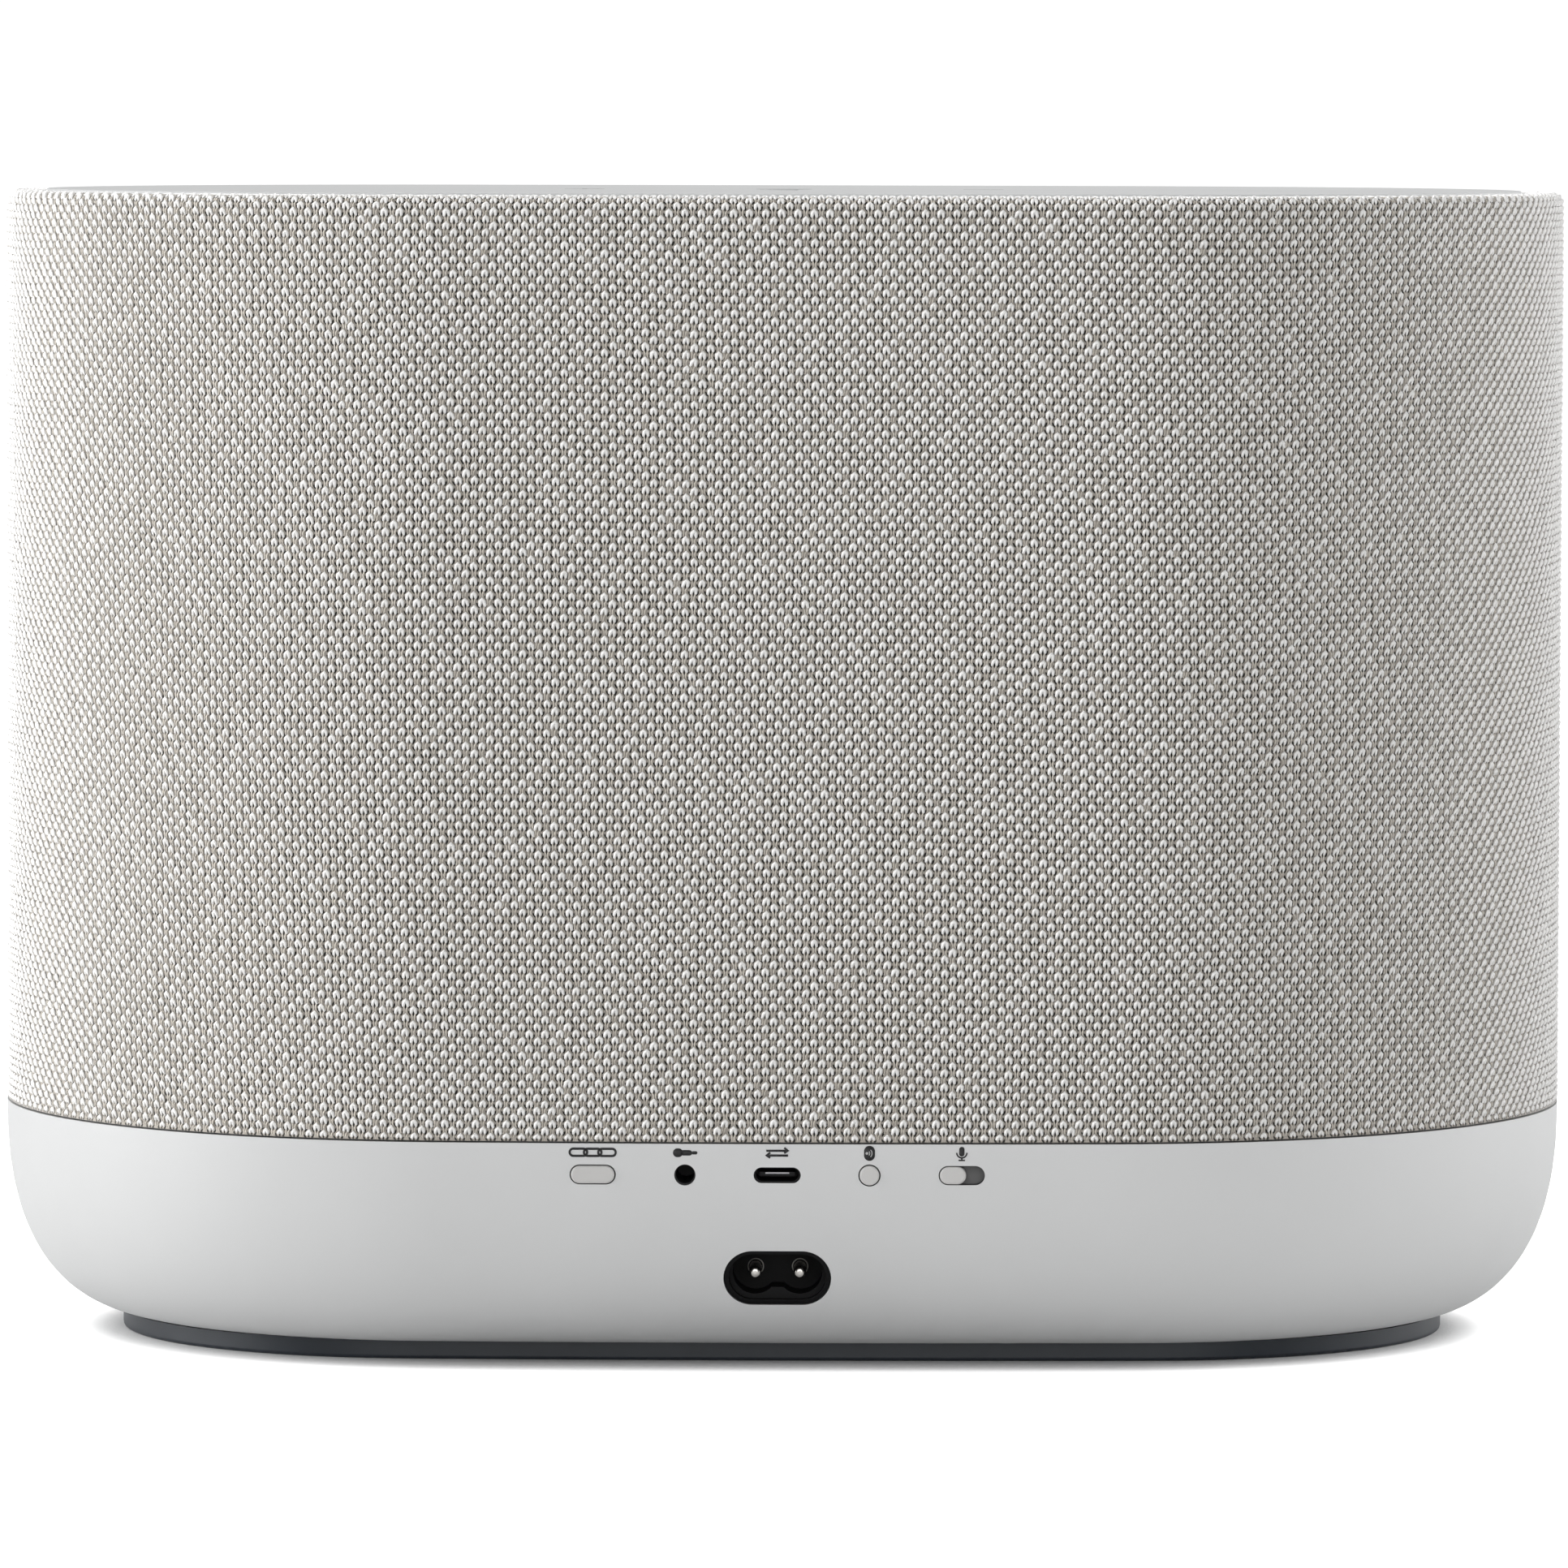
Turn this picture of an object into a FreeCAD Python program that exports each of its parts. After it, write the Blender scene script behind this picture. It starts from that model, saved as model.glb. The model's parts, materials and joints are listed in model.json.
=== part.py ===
"""Smart speaker: oval fabric-wrapped body on a moulded bowl-shaped base.

Row frame: millimetres, +Z up, origin on the floor under the middle of the foot pad.
+Y is the rear, where the controls and sockets are; -Y is the front, where the drivers face.
"""
import FreeCAD, Part
import math
import os

V = FreeCAD.Vector
os.makedirs("parts", exist_ok=True)

# ---- driving dimensions ---------------------------------------------------
HALF_W = 156.0          # plan half width, X
HALF_D = 97.5           # plan half depth, Y
END_R = 96.0            # radius of the plan's round ends
HEIGHT = 228.4          # floor to top of the fabric rim
SEAM_Z = 46.2           # top edge of the base shell
BOWL_Z = 3.7            # lowest level of the base shell
BOWL_IN_X = 29.75       # how far the bowl turns in at its ends
BOWL_IN_Y = 38.0        # how far the bowl turns in at front and rear
BOWL_P = 2.4            # superellipse exponent of the bowl's section
WALL = 2.6              # base shell wall
FOOT_IN_X = 23.2        # foot pad inset at the ends
FOOT_IN_Y = 35.0        # foot pad inset at front and rear
CLOTH = 1.2             # knitted cover thickness
RIM_R = 2.2             # rounding of the cover over the top edge
IO_Z = 40.2             # height of the row of controls
IO_PITCH = 17.75        # spacing of the controls
INLET_Z = 19.6          # height of the mains opening in the shell
PIN_Z = 20.4            # height of the two mains pins
INLET_W, INLET_H = 20.8, 11.2
PIN_PITCH = 8.6         # two-pole mains inlet pins
PIN_R = 1.2
WOOFER_X, WOOFER_Z = 62.0, 112.0
TWEETER_X, TWEETER_Z = 24.0, 186.0
BAFFLE_Y = -68.0        # front face of the driver baffle
BAFFLE_T = 8.0
CAB_Z0, CAB_Z1 = 46.2, 217.0   # speaker cabinet, bottom and top
KEY_TRAVEL = 0.6
MUTE_TRAVEL = 3.4


# ---- helpers --------------------------------------------------------------
def oval_wire(a, b, re, z):
    """Closed tangent wire of four arcs: round ends of radius re, bowed long sides."""
    rf = ((a - re) ** 2 + b * b - re * re) / (2 * (b - re))
    cx, cy = a - re, b - rf
    th = math.atan2(-cy, cx)
    px, py = cx + re * math.cos(th), re * math.sin(th)
    pts = [(px, py), (-px, py), (-px, -py), (px, -py)]
    p = [V(x, y, z) for x, y in pts]
    arcs = [
        Part.Arc(p[0], V(0, b, z), p[1]),
        Part.Arc(p[1], V(-a, 0, z), p[2]),
        Part.Arc(p[2], V(0, -b, z), p[3]),
        Part.Arc(p[3], V(a, 0, z), p[0]),
    ]
    return Part.Wire([c.toShape() for c in arcs])


def plan(o, z):
    return oval_wire(HALF_W - o, HALF_D - o, END_R - o, z)


def oprism(o, z0, z1):
    return Part.Face(plan(o, z0)).extrude(V(0, 0, z1 - z0))


def oval_prism(a, b, re, z0, z1):
    return Part.Face(oval_wire(a, b, re, z0)).extrude(V(0, 0, z1 - z0))


def box(x0, x1, y0, y1, z0, z1):
    return Part.makeBox(x1 - x0, y1 - y0, z1 - z0, V(x0, y0, z0))


def cyl_y(x, z, r, y0, y1):
    return Part.makeCylinder(r, y1 - y0, V(x, y0, z), V(0, 1, 0))


def cyl_z(x, y, r, z0, z1):
    return Part.makeCylinder(r, z1 - z0, V(x, y, z0), V(0, 0, 1))


def cyl_x(y, z, r, x0, x1):
    return Part.makeCylinder(r, x1 - x0, V(x0, y, z), V(1, 0, 0))


def slot_y(x, z, w, h, y0, y1):
    """Stadium w wide along X and h high, run along Y."""
    r = h / 2.0
    d = w / 2.0 - r
    a, b = V(x - d, y0, z - r), V(x + d, y0, z - r)
    c, e = V(x + d, y0, z + r), V(x - d, y0, z + r)
    w_ = Part.Wire([
        Part.LineSegment(a, b).toShape(),
        Part.Arc(b, V(x + d + r, y0, z), c).toShape(),
        Part.LineSegment(c, e).toShape(),
        Part.Arc(e, V(x - d - r, y0, z), a).toShape(),
    ])
    return Part.Face(w_).extrude(V(0, y1 - y0, 0))


def stadium_z(x, y, w, h, z0, z1):
    r = h / 2.0
    d = w / 2.0 - r
    a, b = V(x - d, y - r, z0), V(x + d, y - r, z0)
    c, e = V(x + d, y + r, z0), V(x - d, y + r, z0)
    w_ = Part.Wire([
        Part.LineSegment(a, b).toShape(),
        Part.Arc(b, V(x + d + r, y, z0), c).toShape(),
        Part.LineSegment(c, e).toShape(),
        Part.Arc(e, V(x - d - r, y, z0), a).toShape(),
    ])
    return Part.Face(w_).extrude(V(0, 0, z1 - z0))


def union(shapes):
    s = shapes[0]
    if len(shapes) > 1:
        s = s.multiFuse(shapes[1:])
        s = s.removeSplitter()
    return s


def fillet_at(solid, r, test):
    edges = [e for e in solid.Edges if test(e)]
    return solid.makeFillet(r, edges)


def on_z(z, tol=1e-3):
    return lambda e: abs(e.BoundBox.ZMin - z) < tol and abs(e.BoundBox.ZMax - z) < tol


def on_y(y, tol=1e-3):
    return lambda e: abs(e.BoundBox.YMin - y) < tol and abs(e.BoundBox.YMax - y) < tol


def turned_y(x, z, pts):
    """Solid turned about the Y axis through (x, z). pts are (radius, y)."""
    p = [V(x + r, y, z) for r, y in pts]
    w_ = Part.makePolygon(p + [p[0]])
    return Part.Face(w_).revolve(V(x, 0, z), V(0, 1, 0), 360)


def turned_wire_y(x, z, edges):
    """As turned_y, with edges given as ('l'|'a', points) in (radius, y)."""
    es = []
    for kind, q in edges:
        q = [V(x + r, y, z) for r, y in q]
        es.append(Part.LineSegment(*q).toShape() if kind == "l" else Part.Arc(*q).toShape())
    return Part.Face(Part.Wire(es)).revolve(V(x, 0, z), V(0, 1, 0), 360)


def screw_z(x, y, z_head, length, up=True, r=1.5, head_r=2.8, head_h=2.0):
    """Pan-head screw, head at z_head, shank pointing up or down."""
    s = 1 if up else -1
    head = Part.makeCylinder(head_r, head_h, V(x, y, z_head - (head_h if up else 0)), V(0, 0, 1))
    shank = Part.makeCylinder(r, length, V(x, y, z_head - (0 if up else length)), V(0, 0, 1))
    sock = Part.makeCylinder(1.1, 1.1, V(x, y, z_head - head_h * s - (0 if up else 1.1)), V(0, 0, 1))
    return union([head, shank]).cut(sock)


def screw_y(x, z, y_head, length, r=1.6, head_r=3.2, head_h=2.0):
    """Pan-head screw facing the front, shank running to +Y."""
    head = cyl_y(x, z, head_r, y_head - head_h, y_head)
    shank = cyl_y(x, z, r, y_head, y_head + length)
    sock = cyl_y(x, z, 1.2, y_head - head_h, y_head - head_h + 1.1)
    return union([head, shank]).cut(sock)


def tube(points, r, radii=None):
    """Round lead of straight runs joined by tangent arcs."""
    pts = [V(*p) for p in points]
    edges = []
    start = pts[0]
    for i in range(1, len(pts) - 1):
        a, b, c = pts[i - 1], pts[i], pts[i + 1]
        u = (a - b).normalize()
        w = (c - b).normalize()
        turn = math.pi - u.getAngle(w)
        rad = 0.45 * min((a - b).Length, (c - b).Length) / math.tan(turn / 2.0)
        t = rad * math.tan(turn / 2.0)
        p0 = b + u * t
        p1 = b + w * t
        mid_dir = (u + w).normalize()
        centre = b + mid_dir * (rad / math.cos(turn / 2.0))
        mid = centre - mid_dir * rad
        edges.append(Part.LineSegment(start, p0).toShape())
        edges.append(Part.Arc(p0, mid, p1).toShape())
        start = p1
    edges.append(Part.LineSegment(start, pts[-1]).toShape())
    path = Part.Wire(edges)
    d = (pts[1] - pts[0]).normalize()
    prof = Part.Wire(Part.Circle(pts[0], d, r).toShape())
    s = path.makePipeShell([prof], True, False)
    want = math.pi * r * r * path.Length
    if not s.isValid() or abs(s.Volume - want) > 0.02 * want:
        raise RuntimeError("lead volume %.1f, wanted %.1f" % (s.Volume, want))
    return s


OUT = {}


def put(name, *solids):
    """Keeps a node: one or more separate closed solids."""
    flat = []
    for s in solids:
        flat.extend(s.Solids)
    for s in flat:
        if not s.isValid() or s.Volume <= 0:
            raise RuntimeError("bad solid in " + name)
    OUT[name] = flat[0] if len(flat) == 1 else Part.makeCompound(flat)


def inset_of(p):
    """How far inside the full plan outline a point lies."""
    rf = ((HALF_W - END_R) ** 2 + HALF_D ** 2 - END_R ** 2) / (2 * (HALF_D - END_R))
    cx, cy = HALF_W - END_R, rf - HALF_D
    x, y = abs(p.x), abs(p.y)
    if cx * y - cy * (x - cx) > 0:
        return rf - math.hypot(x, y + cy)
    return END_R - math.hypot(x - cx, y)


def at_inset(z, o):
    """Edges lying at height z and at inset o."""
    def test(e):
        if not on_z(z)(e):
            return False
        m = e.valueAt((e.FirstParameter + e.LastParameter) / 2.0)
        return abs(inset_of(m) - o) < 0.05
    return test


# ---- base shell -----------------------------------------------------------
def bowl(inset, z_low, z_top, in_x, in_y, n=13):
    """Solid bowl: stacked ovals whose inset follows a quarter superellipse."""
    wires = []
    for k in range(n):
        t = k / (n - 1.0)
        s = math.sin(t * math.pi / 2) ** (2 / BOWL_P)
        c = math.cos(t * math.pi / 2) ** (2 / BOWL_P) if k < n - 1 else 0.0
        z = z_top - (z_top - z_low) * s
        ix, iy = in_x * (1 - c), in_y * (1 - c)
        a, b = HALF_W - inset - ix, HALF_D - inset - iy
        wires.append(oval_wire(a, b, b - 1.5, z))
    return Part.makeLoft(wires, True, False)


outer = bowl(0.0, BOWL_Z, SEAM_Z, BOWL_IN_X, BOWL_IN_Y)
inner = bowl(WALL, BOWL_Z + WALL, SEAM_Z, BOWL_IN_X - WALL, BOWL_IN_Y - WALL)
base = outer.cut(inner)

x_connect, x_aux, x_usb, x_pair, x_mute = 2 * IO_PITCH, IO_PITCH, 0.0, -IO_PITCH, -2 * IO_PITCH
# long tubes for the screws that hold the base to the cabinet, and posts for the boards
TUBES = [(98, 38), (98, -38), (-112, 0), (-60, 49.5), (-60, -49.5), (40, -49.5)]
BOARD_Z = 11.4
AMP_POSTS = [(-98, 36), (-98, -36), (-26, 40), (-26, -40)]
PSU_POSTS = [(-10, 10), (78, 10), (78, 56), (22, 56)]
IO_POSTS = [(40, 72), (-40, 72)]
IO_BOARD_Z = 35.6
adds = [cyl_z(x, y, 4.6, 5.0, CAB_Z0) for x, y in TUBES]
adds += [cyl_z(x, y, 3.0, 5.5, BOARD_Z) for x, y in AMP_POSTS + PSU_POSTS]
adds += [cyl_z(x, y, 3.2, 7.0, IO_BOARD_Z) for x, y in IO_POSTS]
base = base.multiFuse(adds)
cuts = [
    slot_y(x_connect, IO_Z, 8.9, 3.85, 85, 100),
    cyl_y(x_aux, IO_Z, 2.05, 85, 100),
    slot_y(x_usb, IO_Z, 9.05, 3.05, 85, 100),
    cyl_y(x_pair, IO_Z, 2.14, 85, 100),
    slot_y(x_mute, IO_Z, 8.9, 3.75, 85, 100),
    slot_y(0, INLET_Z, INLET_W, INLET_H, 72, 100),
    box(-7, 23, 88, 95.9, 36.4, 44.0),          # thinner wall in front of the two sockets
]
for x, y in TUBES:
    cuts += [cyl_z(x, y, 3.6, 0, 36), cyl_z(x, y, 1.6, 30, 50)]
for x, y in AMP_POSTS + PSU_POSTS:
    cuts.append(cyl_z(x, y, 1.2, 6.8, 20))
for x, y in IO_POSTS:
    cuts.append(cyl_z(x, y, 1.2, 28, 40))
for c in cuts:
    base = base.cut(c)
put("base_shell", base)

# ---- foot pad -------------------------------------------------------------
fa, fb = HALF_W - FOOT_IN_X, HALF_D - FOOT_IN_Y
foot = oval_prism(fa, fb, fb - 1.5, 0, BOWL_Z)
foot = fillet_at(foot, 0.7, on_z(0))
foot = foot.cut(oval_prism(fa - 14, fb - 14, fb - 15.5, -1, 0.9))
put("foot_pad", foot)

# ---- fabric cover and its frame ------------------------------------------
CLOTH_Z0 = SEAM_Z + 0.15
FOLD_IN = 8.0                       # inner edge of the cover's turned-in rim
skin = oprism(0, CLOTH_Z0, HEIGHT)
skin = fillet_at(skin, RIM_R, on_z(HEIGHT))
skin = fillet_at(skin, 0.8, on_z(CLOTH_Z0))
core = oprism(CLOTH, CLOTH_Z0 + CLOTH, HEIGHT - CLOTH)
core = fillet_at(core, RIM_R - CLOTH, on_z(HEIGHT - CLOTH))
core = core.cut(oprism(FOLD_IN - CLOTH, 222.5, HEIGHT + 1))
skin = skin.cut(core)
skin = skin.cut(oprism(FOLD_IN, 200, HEIGHT + 5))
skin = skin.cut(oprism(5.0, 0, 60))
skin = skin.cut(oprism(FOLD_IN - CLOTH, 100, 222.5))
skin = fillet_at(skin, 1.0, at_inset(HEIGHT, FOLD_IN))
put("fabric_sleeve", skin)

FR_O, FR_T = CLOTH, 2.0             # frame: outer inset and wall
frame = oprism(FR_O, CLOTH_Z0 + CLOTH, HEIGHT - CLOTH)
frame = fillet_at(frame, RIM_R - CLOTH, on_z(HEIGHT - CLOTH))
frame = frame.cut(oprism(FR_O + FR_T, 0, HEIGHT - CLOTH - 2.4))
frame = frame.cut(oprism(FOLD_IN - CLOTH, 0, HEIGHT + 5))
inner_wall = oprism(FOLD_IN - CLOTH - FR_T, CAB_Z1, HEIGHT - CLOTH - 1).cut(oprism(FOLD_IN - CLOTH, 0, HEIGHT))
flange = oprism(FOLD_IN - CLOTH - FR_T, CAB_Z1, CAB_Z1 + 2).cut(oprism(18, 0, 300))
frame = union([frame, inner_wall, flange])
ROWS = [(56, 92), (97, 133), (138, 174), (179, 213)]
wins = []
for z0, z1 in ROWS:
    for k in range(-3, 4):
        x = 16.0 * k
        wins.append(box(x - 6, x + 6, 88, 100, z0, z1))
        wins.append(box(x - 6, x + 6, -100, -88, z0, z1))
    for s in (1, -1):
        for k in range(-8, 9):
            w_ = box(88, 100, -6, 6, z0, z1)
            w_.rotate(V(0, 0, 0), V(0, 0, 1), 10.0 * k + (0 if s > 0 else 180))
            w_.translate(V(s * (HALF_W - END_R), 0, 0))
            wins.append(w_)
frame = frame.cut(Part.makeCompound(wins))
FRAME_SCREWS = [(142, 0), (-142, 0), (60, 81.7), (-60, 81.7), (60, -81.7), (-60, -81.7)]
for x, y in FRAME_SCREWS:
    frame = frame.cut(cyl_z(x, y, 1.6, 210, 225))
put("grille_frame", frame)

# ---- top panel, its touch board and lights -------------------------------
PANEL_IN, PANEL_Z, PANEL_T = FOLD_IN + 0.25, 228.6, 2.8
panel = oprism(PANEL_IN, PANEL_Z - PANEL_T, PANEL_Z)
panel = fillet_at(panel, 0.5, on_z(PANEL_Z))
skirt = oprism(PANEL_IN, CAB_Z1 + 2, PANEL_Z - PANEL_T + 0.2).cut(oprism(PANEL_IN + 2, 0, 300))
panel = union([panel, skirt])
LIGHTS = [(-12, -12), (-4, -12), (4, -12), (12, -12)]
MICS = [(62, 0), (-62, 0)]
for x, y in LIGHTS:
    panel = panel.cut(cyl_z(x, y, 0.8, 220, 230))
for x, y in MICS:
    panel = panel.cut(cyl_z(x, y, 0.6, 220, 230))
put("top_panel", panel)
put("status_lights", *[cyl_z(x, y, 0.78, PANEL_Z - PANEL_T, PANEL_Z) for x, y in LIGHTS])
tb = box(-70, 70, -20, 20, PANEL_Z - PANEL_T - 1.6, PANEL_Z - PANEL_T)
chips = [box(x - 4, x + 4, -4, 4, PANEL_Z - PANEL_T - 2.8, PANEL_Z - PANEL_T - 1.5) for x in (-30, 0, 30)]
put("touch_board", union([tb] + chips))
put("antennas", box(76, 106, 30, 40, CAB_Z1, CAB_Z1 + 0.8), box(-106, -76, 30, 40, CAB_Z1, CAB_Z1 + 0.8))

# ---- cabinet --------------------------------------------------------------
CAB_IN, CAB_T = 5.5, 4.0
SHELL_Y = BAFFLE_Y + BAFFLE_T + 1.0
cab = oprism(CAB_IN, CAB_Z0, CAB_Z1).cut(oprism(CAB_IN + CAB_T, CAB_Z0 + CAB_T, CAB_Z1 - CAB_T))
BAFFLE_SCREWS = [(s * x, z) for s in (1, -1) for x, z in ((108, 56.5), (108, 206.5), (40, 56.5), (58, 206.5))]
cab = cab.multiFuse(
    [cyl_z(x, y, 4.5, CAB_Z0 + 1, CAB_Z0 + 14) for x, y in TUBES]
    + [cyl_z(x, y, 4.0, CAB_Z1 - 12, CAB_Z1 - 1) for x, y in FRAME_SCREWS]
    + [cyl_y(x, z, 5.0, SHELL_Y, SHELL_Y + 14) for x, z in BAFFLE_SCREWS]
    + [box(x - 1.2, x + 1.2, SHELL_Y, SHELL_Y + 14, CAB_Z0 + 2 if z < 100 else z, z if z < 100 else CAB_Z1 - 2) for x, z in BAFFLE_SCREWS]
)
cab = cab.cut(box(-200, 200, -200, SHELL_Y, 0, 300))
for x, y in TUBES:
    cab = cab.cut(cyl_z(x, y, 1.55, 40, CAB_Z0 + 12))
for x, y in FRAME_SCREWS:
    cab = cab.cut(cyl_z(x, y, 1.55, CAB_Z1 - 10, 230))
for x, z in BAFFLE_SCREWS:
    cab = cab.cut(cyl_y(x, z, 1.65, SHELL_Y - 1, SHELL_Y + 12))
GR_Y = -36.0
cab = cab.cut(union([box(-3, 3, GR_Y - 5.5, GR_Y + 5.5, 40, 55), cyl_z(0, GR_Y - 5.5, 3, 40, 55), cyl_z(0, GR_Y + 5.5, 3, 40, 55)]))
put("cabinet_shell", cab)

ring = oprism(CAB_IN, CAB_Z0, CAB_Z1).cut(oprism(CAB_IN + CAB_T, CAB_Z0 + CAB_T, CAB_Z1 - CAB_T))
ring = ring.common(box(-200, 200, SHELL_Y - 1.0, SHELL_Y, 0, 300))
put("cabinet_gasket", ring)

baffle = oprism(CAB_IN, CAB_Z0, CAB_Z1).common(box(-200, 200, BAFFLE_Y, BAFFLE_Y + BAFFLE_T, 0, 300))
for s in (1, -1):
    baffle = baffle.cut(cyl_y(s * WOOFER_X, WOOFER_Z, 40.2, -90, -50))
    baffle = baffle.cut(cyl_y(s * TWEETER_X, TWEETER_Z, 13.2, -90, -50))
W_SCREWS = [(s * WOOFER_X + 43.8 * math.cos(a), WOOFER_Z + 43.8 * math.sin(a))
            for s in (1, -1) for a in [math.radians(45 + 90 * k) for k in range(4)]]
T_SCREWS = [(s * TWEETER_X + 16.2 * math.cos(a), TWEETER_Z + 16.2 * math.sin(a))
            for s in (1, -1) for a in [math.radians(90 + 120 * k) for k in range(3)]]
for x, z in BAFFLE_SCREWS + W_SCREWS + T_SCREWS:
    baffle = baffle.cut(cyl_y(x, z, 1.65, -90, -50))
put("front_baffle", baffle)

grom = union([box(-4.5, 4.5, GR_Y - 5.5, GR_Y + 5.5, CAB_Z0 + CAB_T, CAB_Z0 + CAB_T + 1.5),
              cyl_z(0, GR_Y - 5.5, 4.5, CAB_Z0 + CAB_T, CAB_Z0 + CAB_T + 1.5),
              cyl_z(0, GR_Y + 5.5, 4.5, CAB_Z0 + CAB_T, CAB_Z0 + CAB_T + 1.5),
              box(-2.9, 2.9, GR_Y - 5.5, GR_Y + 5.5, CAB_Z0, CAB_Z0 + CAB_T + 1),
              cyl_z(0, GR_Y - 5.5, 2.9, CAB_Z0, CAB_Z0 + CAB_T + 1),
              cyl_z(0, GR_Y + 5.5, 2.9, CAB_Z0, CAB_Z0 + CAB_T + 1)])
LEAD_Y = [-31.5, -34.5, -37.5, -40.5]
for y in LEAD_Y:
    grom = grom.cut(cyl_z(0, y, 1.05, 40, 60))
put("lead_grommet", grom)

# ---- drivers --------------------------------------------------------------
def woofer(side, name):
    x, z = side * WOOFER_X, WOOFER_Z
    basket = turned_y(x, z, [(47, -71), (47, -68), (39.6, -68), (38.6, -62), (27.6, -47), (27, -41), (14, -41),
                             (14, -43), (22.5, -43), (22.5, -48), (26.2, -48), (36.2, -62), (36.8, -69.5),
                             (41.5, -69.5), (41.5, -71)])
    for k in range(6):
        w_ = box(24, 46, -46 - 14, -49.5, -8, 8)
        w_.rotate(V(0, 0, 0), V(0, 1, 0), 60 * k + 30)
        w_.translate(V(x, 0, z))
        basket = basket.cut(w_)
    for k in range(4):
        a = math.radians(45 + 90 * k)
        basket = basket.cut(cyl_y(x + 43.8 * math.cos(a), z + 43.8 * math.sin(a), 1.65, -90, -60))
    put(name + "_basket", basket)
    put(name + "_top_plate", turned_y(x, z, [(13.4, -41), (28, -41), (28, -37), (13.4, -37)]))
    put(name + "_magnet", turned_y(x, z, [(16, -37), (30, -37), (30, -27), (16, -27)]))
    put(name + "_yoke", turned_y(x, z, [(0, -39), (10.9, -39), (10.9, -27), (28, -27), (28, -23), (0, -23)]))
    # dished cone with its cap and coil former in one moulding
    put(name + "_cone", turned_wire_y(x, z, [
        ("l", [(0, -63.0), (1.0, -63.0)]),
        ("a", [(1.0, -63.0), (6.8, -62.2), (12.0, -59.6)]),
        ("a", [(12.0, -59.6), (20.5, -65.6), (28.6, -69.3)]),
        ("l", [(28.6, -69.3), (31.6, -69.3)]),
        ("l", [(31.6, -69.3), (31.6, -68.5)]),
        ("l", [(31.6, -68.5), (28.8, -68.5)]),
        ("a", [(28.8, -68.5), (20.9, -64.8), (12.6, -58.6)]),
        ("l", [(12.6, -58.6), (12.6, -34)]),
        ("l", [(12.6, -34), (11.8, -34)]),
        ("l", [(11.8, -34), (11.8, -58.9)]),
        ("a", [(11.8, -58.9), (6.6, -61.4), (1.0, -62.2)]),
        ("l", [(1.0, -62.2), (0, -62.2)]),
        ("l", [(0, -62.2), (0, -63.0)]),
    ]))
    put(name + "_surround", turned_wire_y(x, z, [
        ("l", [(29.2, -69.3), (31.9, -69.3)]),
        ("a", [(31.9, -69.3), (35.1, -72.4), (38.3, -69.5)]),
        ("l", [(38.3, -69.5), (41.3, -69.5)]),
        ("l", [(41.3, -69.5), (41.3, -70.3)]),
        ("l", [(41.3, -70.3), (39.2, -70.3)]),
        ("a", [(39.2, -70.3), (35.1, -73.2), (31.1, -70.1)]),
        ("l", [(31.1, -70.1), (29.2, -70.1)]),
        ("l", [(29.2, -70.1), (29.2, -69.3)]),
    ]))
    ys = [-48.0, -49.2, -48.0, -49.2, -48.0, -49.2, -48.4]
    rs = [23.0, 21.3, 19.6, 17.9, 16.2, 14.5, 12.6]
    pts = [(26.0, -48.0)] + list(zip(rs, ys))
    back = [(r, y - 0.5) for r, y in reversed(pts)]
    put(name + "_spider", turned_y(x, z, pts + back))


def tweeter(side, name):
    x, z = side * TWEETER_X, TWEETER_Z
    plate = turned_y(x, z, [(19, -70.6), (19, -68), (11.4, -68), (11.4, -69), (14.5, -70.6)])
    for k in range(3):
        a = math.radians(90 + 120 * k)
        plate = plate.cut(cyl_y(x + 16.2 * math.cos(a), z + 16.2 * math.sin(a), 1.65, -90, -60))
    put(name + "_plate", plate)
    put(name + "_magnet", turned_y(x, z, [(0, -67.2), (8.9, -67.2), (8.9, -61), (10.7, -61), (10.7, -68), (12.9, -68),
                                          (12.9, -52), (0, -52)]))
    put(name + "_dome", turned_wire_y(x, z, [
        ("l", [(0, -72.0), (0.6, -72.0)]),
        ("a", [(0.6, -72.0), (5.5, -71.1), (10.0, -68.6)]),
        ("l", [(10.0, -68.6), (10.0, -63.0)]),
        ("l", [(10.0, -63.0), (9.6, -63.0)]),
        ("l", [(9.6, -63.0), (9.6, -68.2)]),
        ("a", [(9.6, -68.2), (5.3, -70.6), (0.6, -71.5)]),
        ("l", [(0.6, -71.5), (0, -71.5)]),
        ("l", [(0, -71.5), (0, -72.0)]),
    ]))
    put(name + "_surround", turned_y(x, z, [(10.0, -68.6), (10.6, -69.1), (11.2, -68.5), (11.2, -68.1), (10.7, -68.6),
                                            (10.0, -68.2)]))


woofer(1, "left_woofer")
woofer(-1, "right_woofer")
tweeter(1, "left_tweeter")
tweeter(-1, "right_tweeter")

screws = [screw_y(x, z, BAFFLE_Y, 16.0) for x, z in BAFFLE_SCREWS]
screws += [screw_y(x, z, -71.0, 10.5) for x, z in W_SCREWS]
screws += [screw_y(x, z, -70.6, 10.0, head_r=2.6) for x, z in T_SCREWS]
put("baffle_screws", *screws)
case = [screw_z(x, y, 36.0, 18.0, up=True, r=1.5) for x, y in TUBES]
case += [screw_z(x, y, CAB_Z1 + 2, 9.0, up=False, r=1.5, head_r=2.6, head_h=1.8) for x, y in FRAME_SCREWS]
put("case_screws", *case)

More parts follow.
